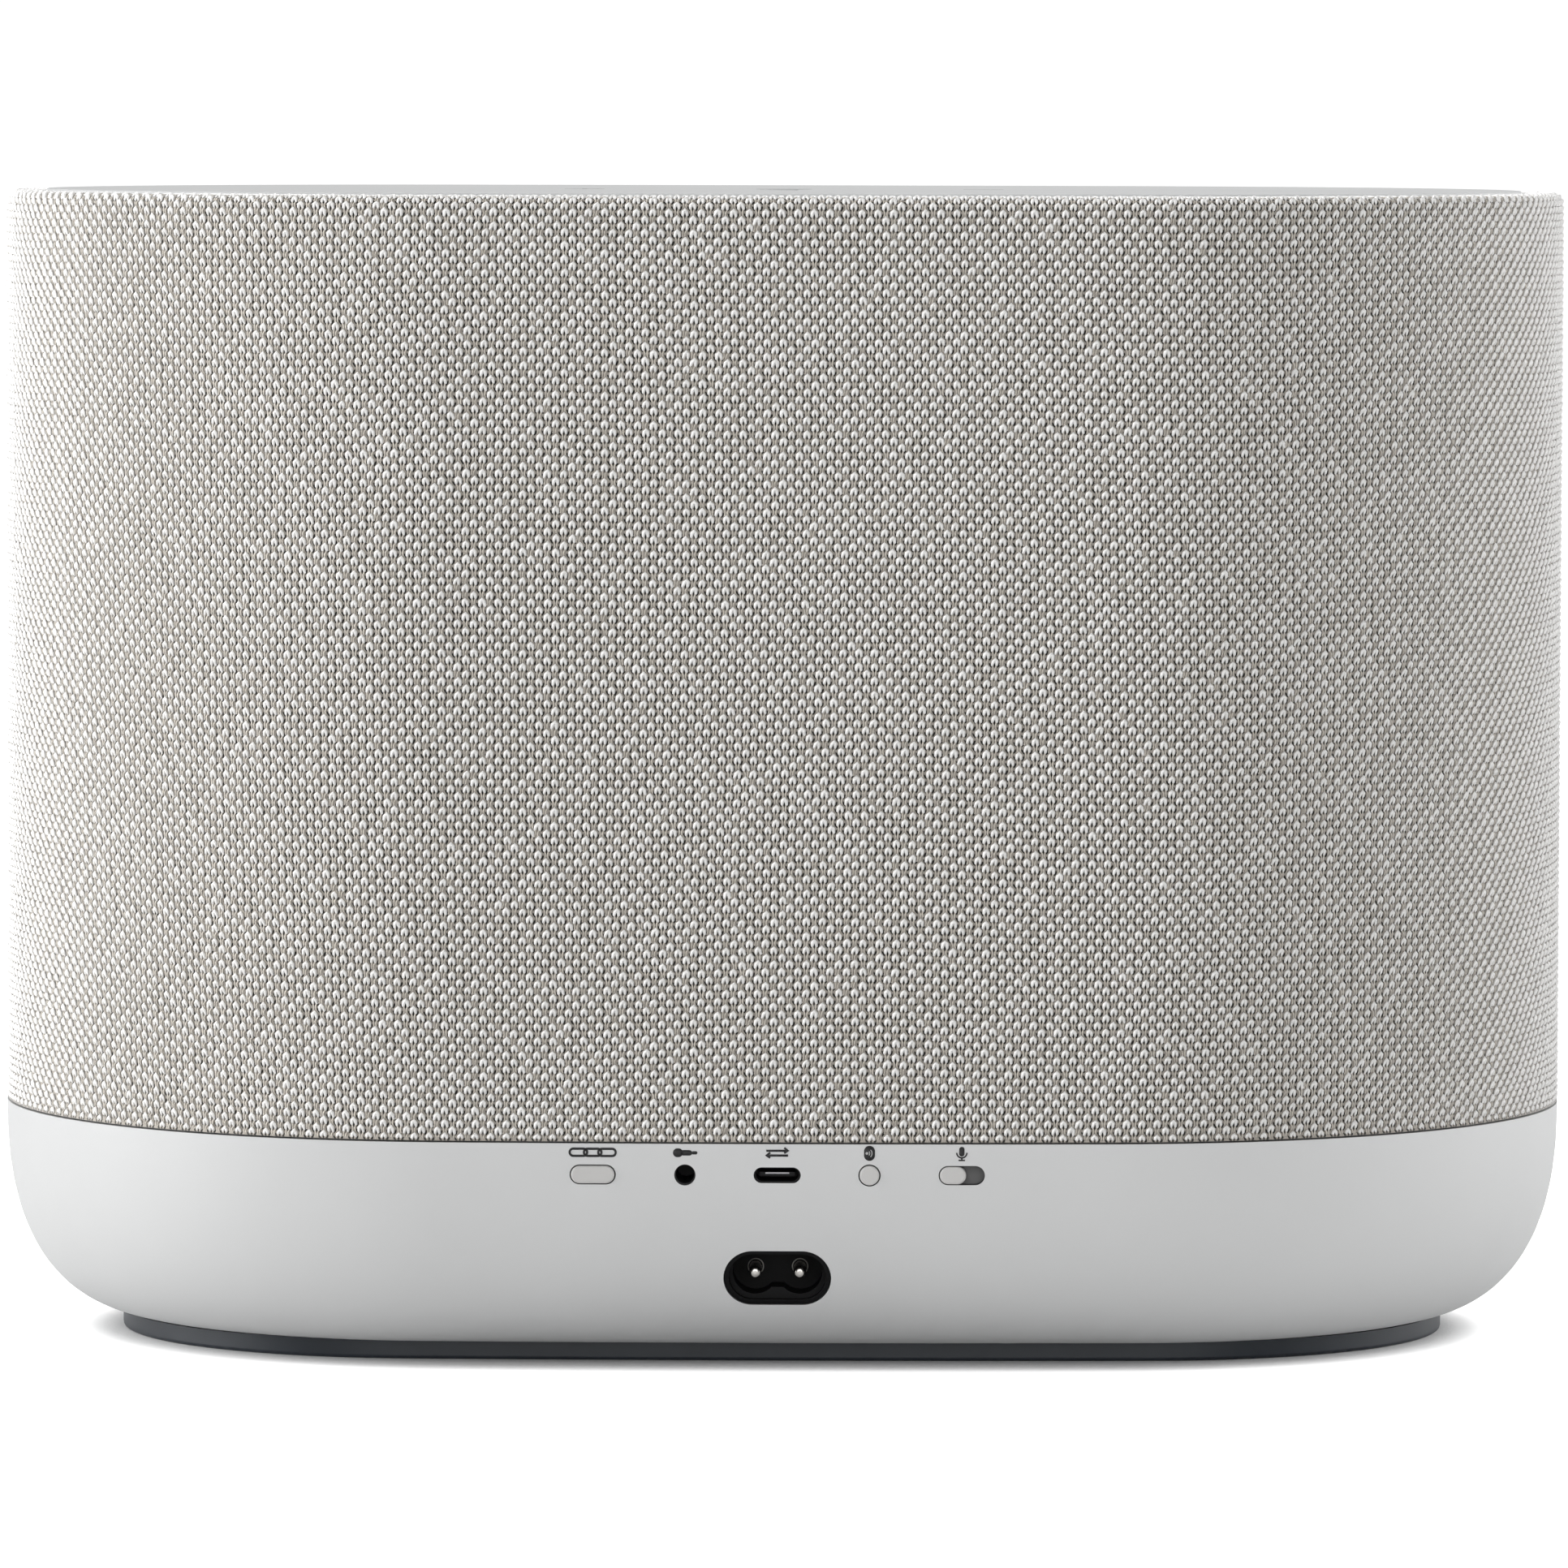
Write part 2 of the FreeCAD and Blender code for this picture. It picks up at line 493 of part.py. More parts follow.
# ---- boards and what they carry ------------------------------------------
BT = BOARD_Z + 1.6
amp = box(-104, -20, -44, 44, BOARD_Z, BT)
for x, y in AMP_POSTS:
    amp = amp.cut(cyl_z(x, y, 1.3, 0, 40))
put("amp_board", amp)
put("amp_chips", box(-92, -78, -16, -4, BT, BT + 3.2), box(-92, -78, 4, 16, BT, BT + 3.2))
fins = [box(-94, -62, -22, 22, BT + 3.2, BT + 6.2)]
fins += [box(-94, -62, y, y + 1.4, BT + 6.0, BT + 22) for y in [-22 + 4.26 * k for k in range(11)]]
put("amp_heatsink", union(fins))
put("processor_shield", fillet_at(box(-56, -28, -12, 16, BT, BT + 3.4), 0.8, on_z(BT + 3.4)))
put("amp_capacitors", *[cyl_z(x, y, 5, BT, BT + 16) for x, y in ((-50, 28), (-38, 28), (-62, 32))])

psu = union([box(-16, 84, 4, 62, BOARD_Z, BT), box(-14, 14, 60, 79, BOARD_Z, BT)])
for x, y in PSU_POSTS:
    psu = psu.cut(cyl_z(x, y, 1.3, 0, 40))
put("psu_board", psu)
core_ = union([box(38, 68, 16, 46, BT, BT + 6), box(38, 68, 16, 46, BT + 18, BT + 24), box(38, 43, 16, 46, BT, BT + 24),
               box(63, 68, 16, 46, BT, BT + 24), box(44.5, 61.5, 12, 50, BT + 6, BT + 18)])
put("psu_transformer", core_)
put("psu_capacitors", *[cyl_z(x, y, 8, BT, BT + 25) for x, y in ((20, 20), (20, 40))])

block = fillet_at(box(-12, 12, 64, 79, BT, 27.2), 1.0, lambda e: on_z(27.2)(e))
under = bowl(0.4, BOWL_Z + 0.4, SEAM_Z, BOWL_IN_X, BOWL_IN_Y)
collar = slot_y(0, INLET_Z, INLET_W - 0.3, INLET_H - 0.3, 76, 100).common(under)
inlet = union([block, collar])
inlet = inlet.cut(slot_y(0, INLET_Z + 0.2, 18.8, 9.4, 86, 110))
eight = union([cyl_y(PIN_PITCH / 2, PIN_Z, 4.4, 77.5, 88), cyl_y(-PIN_PITCH / 2, PIN_Z, 4.4, 77.5, 88),
               box(-PIN_PITCH / 2, PIN_PITCH / 2, 77.5, 88, PIN_Z - 3.1, PIN_Z + 3.1)])
inlet = inlet.cut(eight)
for s in (1, -1):
    inlet = inlet.cut(cyl_y(s * PIN_PITCH / 2, PIN_Z, 1.6, 76.7, 80)).cut(cyl_y(s * PIN_PITCH / 2, PIN_Z, PIN_R + 0.03, 60, 80))
put("mains_inlet", inlet)
put("inlet_pins", *[fillet_at(cyl_y(s * PIN_PITCH / 2, PIN_Z, PIN_R, 61.5, 88.4), 0.9, on_y(88.4)) for s in (1, -1)])

IO_T = IO_BOARD_Z + 1.6
io = box(-46, 46, 66, 92.4, IO_BOARD_Z, IO_T)
for x, y in IO_POSTS:
    io = io.cut(cyl_z(x, y, 1.3, 0, 60))
put("io_board", io)

jack = box(x_aux - 3.4, x_aux + 3.4, 80.2, 95.7, IO_T, 43.6).cut(cyl_y(x_aux, IO_Z, 1.8, 81.7, 100))
put("aux_jack", jack)

usb = slot_y(x_usb, IO_Z, 8.94, 3.2, 86.0, 95.7).cut(slot_y(x_usb, IO_Z, 8.34, 2.56, 88.0, 100))
usb = union([usb, box(x_usb - 3.35, x_usb + 3.35, 87.5, 94.4, IO_Z - 0.35, IO_Z + 0.35),
             box(x_usb - 2.9, x_usb + 2.9, 86.0, 91.9, IO_T, IO_Z - 1.5)])
put("usb_port", usb)

# ---- keys -----------------------------------------------------------------
def key(name, x, w, h, fw, fh, front):
    face = slot_y(x, IO_Z, w, h, 91.0, front) if w > h else cyl_y(x, IO_Z, w / 2.0, 91.0, front)
    face = fillet_at(face, 0.45, on_y(front))
    rim = slot_y(x, IO_Z, fw, fh, 92.4, 93.8) if w > h else cyl_y(x, IO_Z, fw / 2.0, 92.4, 93.8)
    put(name + "_button", union([face, rim]))
    body = box(x - 3.1, x + 3.1, 82.5, 88.4, IO_T, 43.3).cut(cyl_y(x, IO_Z, 1.5, 85.9, 90))
    put(name + "_switch_body", body)
    put(name + "_switch_plunger", cyl_y(x, IO_Z, 1.2, 87.2, 91.0))


key("connect", x_connect, 8.4, 3.4, 10.4, 5.4, 97.45)
key("pairing", x_pair, 3.8, 3.8, 5.6, 5.6, 97.75)

KNOB_W = 5.1
kx = x_mute + 4.45 - 0.2 - KNOB_W / 2.0
knob = fillet_at(slot_y(kx, IO_Z, KNOB_W, 3.4, 93.0, 97.2), 0.45, on_y(97.2))
back = box(x_mute - 5.1, x_mute + 5.1 + MUTE_TRAVEL, 92.0, 93.4, IO_Z - 2.6, IO_Z + 2.6)
put("mute_slider", union([knob, back]))
put("mute_switch_lever", box(kx - 0.8, kx + 0.8, 88.4, 92.0, IO_Z - 0.8, IO_Z + 0.8))
msb = box(x_mute - 6.2, x_mute + 6.2, 82.5, 90.0, IO_T, 43.3)
msb = msb.cut(box(kx - 0.8 - MUTE_TRAVEL - 0.4, kx + 0.8 + 0.4, 88.0, 91, IO_Z - 1.2, IO_Z + 1.2))
put("mute_switch_body", msb)

bs = [screw_z(x, y, BT, 5.8, up=False, r=1.15, head_r=2.2, head_h=1.6) for x, y in AMP_POSTS + PSU_POSTS]
bs += [screw_z(x, y, IO_T, 5.8, up=False, r=1.15, head_r=2.2, head_h=1.6) for x, y in IO_POSTS]
put("board_screws", *bs)

# ---- leads from the amplifier board to the drivers ------------------------
ya, yb, yc, yd = LEAD_Y
up = lambda y: [(-40, y, BT + 0.1), (-40, y, 32), (0, y, 32)]
put("driver_leads",
    tube(up(yb) + [(0, yb, WOOFER_Z), (-WOOFER_X + 30.4, yb, WOOFER_Z)], 0.9),
    tube(up(yc) + [(0, yc, WOOFER_Z), (WOOFER_X - 30.4, yc, WOOFER_Z)], 0.9),
    tube(up(yd) + [(0, yd, 176), (-TWEETER_X, yd, TWEETER_Z), (-TWEETER_X, -51.7, TWEETER_Z)], 0.9),
    tube(up(ya) + [(0, ya, 176), (TWEETER_X, yd, TWEETER_Z), (TWEETER_X, -51.7, TWEETER_Z)], 0.9))

# ---- write ----------------------------------------------------------------
for name, shape in OUT.items():
    shape.exportStep("parts/%s.step" % name)
    bb = shape.BoundBox
    print("%-26s %2d solid(s) %10.1f mm3  x %.1f..%.1f y %.1f..%.1f z %.1f..%.1f" % (
        name, len(shape.Solids), shape.Volume, bb.XMin, bb.XMax, bb.YMin, bb.YMax, bb.ZMin, bb.ZMax))
print(len(OUT), "nodes")
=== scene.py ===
import json
import math
import bpy
import numpy as np
from mathutils import Matrix, Vector


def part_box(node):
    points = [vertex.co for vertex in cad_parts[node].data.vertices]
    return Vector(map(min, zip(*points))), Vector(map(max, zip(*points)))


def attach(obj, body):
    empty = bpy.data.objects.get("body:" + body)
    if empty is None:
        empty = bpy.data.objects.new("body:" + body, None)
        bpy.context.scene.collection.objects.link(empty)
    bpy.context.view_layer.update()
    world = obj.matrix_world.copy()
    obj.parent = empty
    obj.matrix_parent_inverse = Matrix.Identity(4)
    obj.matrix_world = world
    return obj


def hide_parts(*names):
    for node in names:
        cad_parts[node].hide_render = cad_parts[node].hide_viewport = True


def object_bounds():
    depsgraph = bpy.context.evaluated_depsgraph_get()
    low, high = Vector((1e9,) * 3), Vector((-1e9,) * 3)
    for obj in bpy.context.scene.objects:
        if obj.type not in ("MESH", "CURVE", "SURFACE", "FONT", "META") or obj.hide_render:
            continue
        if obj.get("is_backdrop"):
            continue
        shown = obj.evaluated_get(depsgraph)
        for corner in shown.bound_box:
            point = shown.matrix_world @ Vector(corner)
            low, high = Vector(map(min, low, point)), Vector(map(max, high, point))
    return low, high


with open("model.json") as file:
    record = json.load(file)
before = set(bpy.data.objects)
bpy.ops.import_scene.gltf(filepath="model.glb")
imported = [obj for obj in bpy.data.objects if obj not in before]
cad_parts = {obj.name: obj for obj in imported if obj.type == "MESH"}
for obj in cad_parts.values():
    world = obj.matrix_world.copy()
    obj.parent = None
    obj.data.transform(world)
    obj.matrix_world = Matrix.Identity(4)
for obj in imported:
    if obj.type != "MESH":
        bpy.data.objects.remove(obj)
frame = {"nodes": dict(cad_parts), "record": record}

CAD_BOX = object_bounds()
NODES = frame["nodes"]
RECORD = frame["record"]
rng = np.random.default_rng(7)


def as_list(v):
    try:
        return [as_list(x) for x in v]
    except TypeError:
        return float(v)


MM = 0.001

# ---- the plan outline, shared by the cover and the base --------------------
HALF_W, HALF_D, END_R = 156.0, 97.5, 96.0
SEAM_Z, HEIGHT = 46.2, 228.4
FACE_R = ((HALF_W - END_R) ** 2 + HALF_D ** 2 - END_R ** 2) / (2 * (HALF_D - END_R))
CX, CY = HALF_W - END_R, FACE_R - HALF_D
TH = math.atan2(CY, CX)
L_END, L_FACE = 2 * TH * END_R, 2 * (math.pi / 2 - TH) * FACE_R
PERIM = 2 * (L_END + L_FACE)


def outline(s):
    """Point and outward normal of the plan outline at arc length s (mm), from the middle of the +X end."""
    s = np.mod(np.asarray(s, float), PERIM)
    x, y, nx, ny = (np.zeros_like(s) for _ in range(4))
    h = L_END / 2
    bounds_ = [0, h, h + L_FACE, h + L_FACE + L_END, h + 2 * L_FACE + L_END, PERIM]
    k = np.clip(np.searchsorted(bounds_, s, side="right") - 1, 0, 4)
    for i in range(5):
        m = k == i
        if not m.any():
            continue
        q = s[m] - bounds_[i]
        if i in (0, 4):
            a = q / END_R if i == 0 else q / END_R - TH
            nx[m], ny[m] = np.cos(a), np.sin(a)
            x[m], y[m] = CX + END_R * nx[m], END_R * ny[m]
        elif i == 2:
            a = math.pi - TH + q / END_R
            nx[m], ny[m] = np.cos(a), np.sin(a)
            x[m], y[m] = -CX + END_R * nx[m], END_R * ny[m]
        else:
            top = i == 1
            a = (TH if top else math.pi + TH) + q / FACE_R
            nx[m], ny[m] = np.cos(a), np.sin(a)
            x[m] = FACE_R * nx[m]
            y[m] = FACE_R * ny[m] + (-CY if top else CY)
    return x, y, nx, ny


def new_mesh(name, verts, faces_flat, loop_totals, smooth=True):
    """Mesh in metres from numpy arrays in millimetres."""
    me = bpy.data.meshes.new(name)
    v = np.asarray(verts, np.float32) * MM
    me.vertices.add(len(v))
    me.vertices.foreach_set("co", v.ravel())
    f = np.asarray(faces_flat, np.int32)
    t = np.asarray(loop_totals, np.int32)
    me.loops.add(len(f))
    me.loops.foreach_set("vertex_index", f)
    me.polygons.add(len(t))
    starts = np.concatenate([[0], np.cumsum(t)[:-1]]).astype(np.int32)
    me.polygons.foreach_set("loop_start", starts)
    me.polygons.foreach_set("loop_total", t)
    me.update(calc_edges=True)
    me.validate()
    if smooth:
        me.polygons.foreach_set("use_smooth", np.ones(len(me.polygons), bool))
    ob = bpy.data.objects.new(name, me)
    bpy.context.scene.collection.objects.link(ob)
    return ob


# ---- materials --------------------------------------------------------------
def material(name):
    m = bpy.data.materials.new(name)
    m.use_nodes = True
    nt = m.node_tree
    return m, nt, nt.nodes["Principled BSDF"]


def node(nt, kind, **props):
    n = nt.nodes.new(kind)
    for k, v in props.items():
        if k in n.inputs:
            n.inputs[k].default_value = v
        else:
            setattr(n, k, v)
    return n


def noise(nt, scale, detail=2.0, rough=0.5, vec=None):
    n = nt.nodes.new("ShaderNodeTexNoise")
    n.inputs["Scale"].default_value = scale
    n.inputs["Detail"].default_value = detail
    n.inputs["Roughness"].default_value = rough
    if vec is not None:
        nt.links.new(vec, n.inputs["Vector"])
    return n


def coords(nt):
    return nt.nodes.new("ShaderNodeTexCoord").outputs["Object"]


def ramp(nt, fac, stops):
    r = nt.nodes.new("ShaderNodeValToRGB")
    el = r.color_ramp.elements
    while len(el) < len(stops):
        el.new(0.5)
    for e, (p, c) in zip(el, stops):
        e.position = p
        e.color = (*c, 1) if len(c) == 3 else c
    nt.links.new(fac, r.inputs["Fac"])
    return r.outputs["Color"]


def bump(nt, bsdf, height, strength, distance, after=None):
    b = nt.nodes.new("ShaderNodeBump")
    b.inputs["Strength"].default_value = strength
    b.inputs["Distance"].default_value = distance
    nt.links.new(height, b.inputs["Height"])
    if after is not None:
        nt.links.new(after, b.inputs["Normal"])
    nt.links.new(b.outputs["Normal"], bsdf.inputs["Normal"])
    return b.outputs["Normal"]


def scaled(c, k):
    return tuple(max(0.0, min(1.0, x * k)) for x in c)


def plastic(name, color, rough=0.5, grain=9000.0, depth=0.00002, vary=0.03, specular=0.5, coat=0.0):
    m, nt, b = material(name)
    v = coords(nt)
    big = noise(nt, 28.0, 3.0, 0.55, v)
    nt.links.new(ramp(nt, big.outputs["Fac"], [(0.3, scaled(color, 1 - vary)), (0.7, scaled(color, 1 + vary))]),
                 b.inputs["Base Color"])
    fine = noise(nt, grain, 2.0, 0.6, v)
    bump(nt, b, fine.outputs["Fac"], 0.35, depth)
    rr = nt.nodes.new("ShaderNodeMapRange")
    rr.inputs["To Min"].default_value = rough - 0.05
    rr.inputs["To Max"].default_value = rough + 0.05
    nt.links.new(noise(nt, 900.0, 3.0, 0.6, v).outputs["Fac"], rr.inputs["Value"])
    nt.links.new(rr.outputs["Result"], b.inputs["Roughness"])
    b.inputs["Specular IOR Level"].default_value = specular
    b.inputs["Coat Weight"].default_value = coat
    return m


def metal(name, color, rough=0.35, brushed=False, vary=0.06):
    m, nt, b = material(name)
    v = coords(nt)
    if brushed:
        mp = nt.nodes.new("ShaderNodeMapping")
        mp.inputs["Scale"].default_value = (1.0, 1.0, 24.0)
        nt.links.new(v, mp.inputs["Vector"])
        v = mp.outputs["Vector"]
    n = noise(nt, 700.0, 4.0, 0.6, v)
    nt.links.new(ramp(nt, n.outputs["Fac"], [(0.3, scaled(color, 1 - vary)), (0.7, scaled(color, 1 + vary))]),
                 b.inputs["Base Color"])
    b.inputs["Metallic"].default_value = 1.0
    rr = nt.nodes.new("ShaderNodeMapRange")
    rr.inputs["To Min"].default_value = max(0.05, rough - 0.08)
    rr.inputs["To Max"].default_value = rough + 0.08
    nt.links.new(n.outputs["Fac"], rr.inputs["Value"])
    nt.links.new(rr.outputs["Result"], b.inputs["Roughness"])
    bump(nt, b, n.outputs["Fac"], 0.2, 0.00001)
    return m


def fibrous(name, color, scale=2600.0, rough=0.9, vary=0.25, sheen=0.3):
    m, nt, b = material(name)
    v = coords(nt)
    n = noise(nt, scale, 4.0, 0.7, v)
    nt.links.new(ramp(nt, n.outputs["Fac"], [(0.25, scaled(color, 1 - vary)), (0.75, scaled(color, 1 + vary))]),
                 b.inputs["Base Color"])
    b.inputs["Roughness"].default_value = rough
    b.inputs["Sheen Weight"].default_value = sheen
    b.inputs["Sheen Roughness"].default_value = 0.5
    bump(nt, b, n.outputs["Fac"], 0.5, 0.00008)
    return m


def board_material():
    """Green solder mask: a brick pattern of two dark greens with lighter green lines between."""
    m, nt, b = material("solder_mask")
    v = coords(nt)
    br = nt.nodes.new("ShaderNodeTexBrick")
    br.inputs["Scale"].default_value = 60.0
    br.inputs["Mortar Size"].default_value = 0.04
    br.inputs["Color1"].default_value = (0.012, 0.11, 0.05, 1)
    br.inputs["Color2"].default_value = (0.010, 0.09, 0.04, 1)
    br.inputs["Mortar"].default_value = (0.03, 0.20, 0.09, 1)
    nt.links.new(v, br.inputs["Vector"])
    nt.links.new(br.outputs["Color"], b.inputs["Base Color"])
    b.inputs["Roughness"].default_value = 0.35
    bump(nt, b, br.outputs["Fac"], 0.4, 0.00003)
    return m


SHELL = (0.648, 0.654, 0.656)


def paint_recess_shade(m, near, far, tone):
    """Painted shade inside the rear openings: past this depth behind the rear face the colour darkens towards tone,
    standing in for the shade in those recesses.
    """
    nt = m.node_tree
    b = nt.nodes["Principled BSDF"]
    sp = nt.nodes.new("ShaderNodeSeparateXYZ")
    nt.links.new(coords(nt), sp.inputs[0])

    def mth(op, a_, b_2, c_=None):
        n = nt.nodes.new("ShaderNodeMath")
        n.operation = op
        for i, q in enumerate((a_, b_2, c_)):
            if q is None:
                continue
            if isinstance(q, (int, float)):
                n.inputs[i].default_value = q
            else:
                nt.links.new(q, n.inputs[i])
        return n.outputs[0]

    face = mth("MULTIPLY_ADD", mth("MULTIPLY", sp.outputs["X"], sp.outputs["X"]), -1.0 / 2.5935, HALF_D * MM)
    below = mth("MAXIMUM", mth("MULTIPLY_ADD", sp.outputs["Z"], -1000.0, SEAM_Z), 0.0)
    face = mth("SUBTRACT", face, mth("MULTIPLY", mth("POWER", below, 2.4), 0.00197 * MM))
    deep = mth("SUBTRACT", face, sp.outputs["Y"])
    inside = mth("LESS_THAN", mth("ABSOLUTE", sp.outputs["X"], 0.0), 0.045)
    row = mth("LESS_THAN", mth("ABSOLUTE", mth("SUBTRACT", sp.outputs["Z"], 0.0402), 0.0), 0.0027)
    r_m = nt.nodes.new("ShaderNodeMapRange")
    r_m.interpolation_type = "SMOOTHSTEP"
    r_m.inputs["From Min"].default_value = near * MM
    r_m.inputs["From Max"].default_value = far * MM
    nt.links.new(deep, r_m.inputs["Value"])
    rear_side = mth("GREATER_THAN", sp.outputs["Y"], 0.080)
    # mask of the painted shade: the rear socket row, deeper than near behind the rear face
    fac = mth("MULTIPLY", mth("MULTIPLY", mth("MULTIPLY", inside, row), rear_side), r_m.outputs["Result"])
    old = b.inputs["Base Color"].links[0].from_socket
    mx = nt.nodes.new("ShaderNodeMix")
    mx.data_type = "RGBA"
    nt.links.new(fac, mx.inputs["Factor"])
    nt.links.new(old, mx.inputs["A"])
    mx.inputs["B"].default_value = (*tone, 1)
    nt.links.new(mx.outputs["Result"], b.inputs["Base Color"])
    return m


MAT = {
    # painted shade darkens the shell's walls inside the rear openings
    "shell": paint_recess_shade(plastic("satin_shell", SHELL, rough=0.52, grain=5200.0, depth=0.00003, vary=0.012, specular=0.42),
                       0.12, 0.55, (0.02, 0.02, 0.02)),
    "frame": plastic("frame_black", (0.018, 0.018, 0.018), rough=0.6),
    "cabinet": plastic("cabinet_black", (0.02, 0.02, 0.021), rough=0.6),
    "seal": fibrous("foam_rubber", (0.02, 0.02, 0.02), 3200.0, 0.85, 0.3, 0.1),
    "basket": plastic("black_paint", (0.02, 0.02, 0.02), rough=0.35, grain=2500.0),
    "steel": metal("zinc_plate", (0.62, 0.62, 0.63), 0.3),
    "ferrite": plastic("ferrite", (0.05, 0.05, 0.053), rough=0.7, grain=3000.0, depth=0.00005, vary=0.15),
    "cone": fibrous("pulp_cone", (0.045, 0.045, 0.046), 1500.0, 0.8, 0.35, 0.1),
    "spider": fibrous("spider_cloth", (0.60, 0.45, 0.20), 3000.0, 0.9, 0.3, 0.2),
    "tweeter": plastic("tweeter_plate", (0.02, 0.02, 0.02), rough=0.45),
    "dome": fibrous("coated_silk", (0.02, 0.02, 0.02), 5000.0, 0.55, 0.3, 0.3),
    "screws": metal("screw_zinc", (0.5, 0.5, 0.52), 0.32),
    "board": board_material(),
    "chip": plastic("moulded_epoxy", (0.012, 0.012, 0.013), rough=0.55, grain=6000.0),
    "heatsink": metal("extruded_aluminium", (0.78, 0.78, 0.79), 0.35, brushed=True),
    "tin": metal("tin_plate", (0.42, 0.42, 0.43), 0.3, brushed=True),
    "cans": plastic("sleeved_can", (0.03, 0.04, 0.08), rough=0.35),
    "transformer": fibrous("winding_tape", (0.62, 0.44, 0.08), 900.0, 0.5, 0.2, 0.0),
    "inlet": plastic("inlet_black", (0.006, 0.006, 0.0065), rough=0.5, grain=4200.0, depth=0.00003, specular=0.12),
    "pins": metal("nickel_pin", (0.62, 0.60, 0.57), 0.24, brushed=False),
    # painted shade darkens the key sides deep in their gaps
    "keys": paint_recess_shade(plastic("key_satin", (0.565, 0.56, 0.55), rough=0.42, grain=6500.0, depth=0.00002, vary=0.02),
                      1.0, 3.0, (0.16, 0.16, 0.16)),
    "switch": plastic("switch_grey", (0.05, 0.05, 0.05), rough=0.5),
    "light": plastic("light_pipe", (0.80, 0.82, 0.83), rough=0.3, grain=4000.0, vary=0.03),
    "leads": plastic("lead_insulation", (0.30, 0.02, 0.02), rough=0.4, grain=3000.0, vary=0.08),
}


def rubber_foot():
    m, nt, b = material("foot_rubber")
    v = coords(nt)
    n = noise(nt, 60.0, 4.0, 0.6, v)
    nt.links.new(ramp(nt, n.outputs["Fac"], [(0.3, (0.017, 0.022, 0.030)), (0.7, (0.022, 0.028, 0.037))]), b.inputs["Base Color"])
    fine = noise(nt, 5200.0, 3.0, 0.65, v)
    bump(nt, b, fine.outputs["Fac"], 0.25, 0.00003)
    b.inputs["Roughness"].default_value = 0.36
    b.inputs["Specular IOR Level"].default_value = 0.5
    return m


MAT["foot"] = rubber_foot()


def socket_with_painted_glint():
    """Black insulator with a painted highlight: a thin bright line stands in for the glint on the edge of its contact
    tongue.
    """
    m = plastic("socket_black", (0.010, 0.010, 0.011), rough=0.45, grain=4200.0, specular=0.2)
    nt = m.node_tree
    b = nt.nodes["Principled BSDF"]
    sp = nt.nodes.new("ShaderNodeSeparateXYZ")
    nt.links.new(coords(nt), sp.inputs[0])

    def mth(op, a_, b_2):
        n = nt.nodes.new("ShaderNodeMath")
        n.operation = op
        for i, q in enumerate((a_, b_2)):
            if isinstance(q, (int, float)):
                n.inputs[i].default_value = q
            else:
                nt.links.new(q, n.inputs[i])
        return n.outputs[0]

    # painted highlight: a thin pale band where the tongue's edge would glint
    line = mth("LESS_THAN", mth("ABSOLUTE", mth("SUBTRACT", sp.outputs["Z"], 0.04034), 0.0), 0.00013)
    span = mth("LESS_THAN", mth("ABSOLUTE", sp.outputs["X"], 0.0), 0.0023)
    fac = mth("MULTIPLY", line, span)
    old = b.inputs["Base Color"].links[0].from_socket
    mx = nt.nodes.new("ShaderNodeMix")
    mx.data_type = "RGBA"
    nt.links.new(fac, mx.inputs["Factor"])
    nt.links.new(old, mx.inputs["A"])
    mx.inputs["B"].default_value = (0.80, 0.80, 0.82, 1)
    nt.links.new(mx.outputs["Result"], b.inputs["Base Color"])
    return m


def yarn(name, light, dark, sheen):
    """Twisted, slightly fuzzy melange yarn."""
    m, nt, b = material(name)
    v = coords(nt)
    streak = nt.nodes.new("ShaderNodeTexWave")
    streak.wave_type = "BANDS"
    streak.bands_direction = "DIAGONAL"
    streak.inputs["Scale"].default_value = 2300.0
    streak.inputs["Distortion"].default_value = 5.0
    streak.inputs["Detail"].default_value = 1.5
    streak.inputs["Detail Scale"].default_value = 2.0
    nt.links.new(v, streak.inputs["Vector"])
    fibre = noise(nt, 1500.0, 3.0, 0.65, v)
    patch = noise(nt, 240.0, 2.0, 0.5, v)
    mix = nt.nodes.new("ShaderNodeMath")
    mix.operation = "MULTIPLY_ADD"
    nt.links.new(streak.outputs["Fac"], mix.inputs[0])
    mix.inputs[1].default_value = 0.30
    nt.links.new(fibre.outputs["Fac"], mix.inputs[2])
    mix2 = nt.nodes.new("ShaderNodeMath")
    mix2.operation = "MULTIPLY_ADD"
    nt.links.new(patch.outputs["Fac"], mix2.inputs[0])
    mix2.inputs[1].default_value = 0.35
    nt.links.new(mix.outputs["Value"], mix2.inputs[2])
    nt.links.new(ramp(nt, mix2.outputs["Value"], [(0.42, dark), (0.80, light)]), b.inputs["Base Color"])
    b.inputs["Roughness"].default_value = 0.92
    b.inputs["Sheen Weight"].default_value = sheen
    b.inputs["Sheen Roughness"].default_value = 0.35
    b.inputs["Specular IOR Level"].default_value = 0.25
    bump(nt, b, mix.outputs["Value"], 0.55, 0.00006)
    return m


YARN = yarn("melange_yarn", (0.90, 0.892, 0.88), (0.66, 0.65, 0.63), 1.0)
STRANDS = yarn("binding_yarn", (0.62, 0.575, 0.51), (0.36, 0.325, 0.28), 1.0)


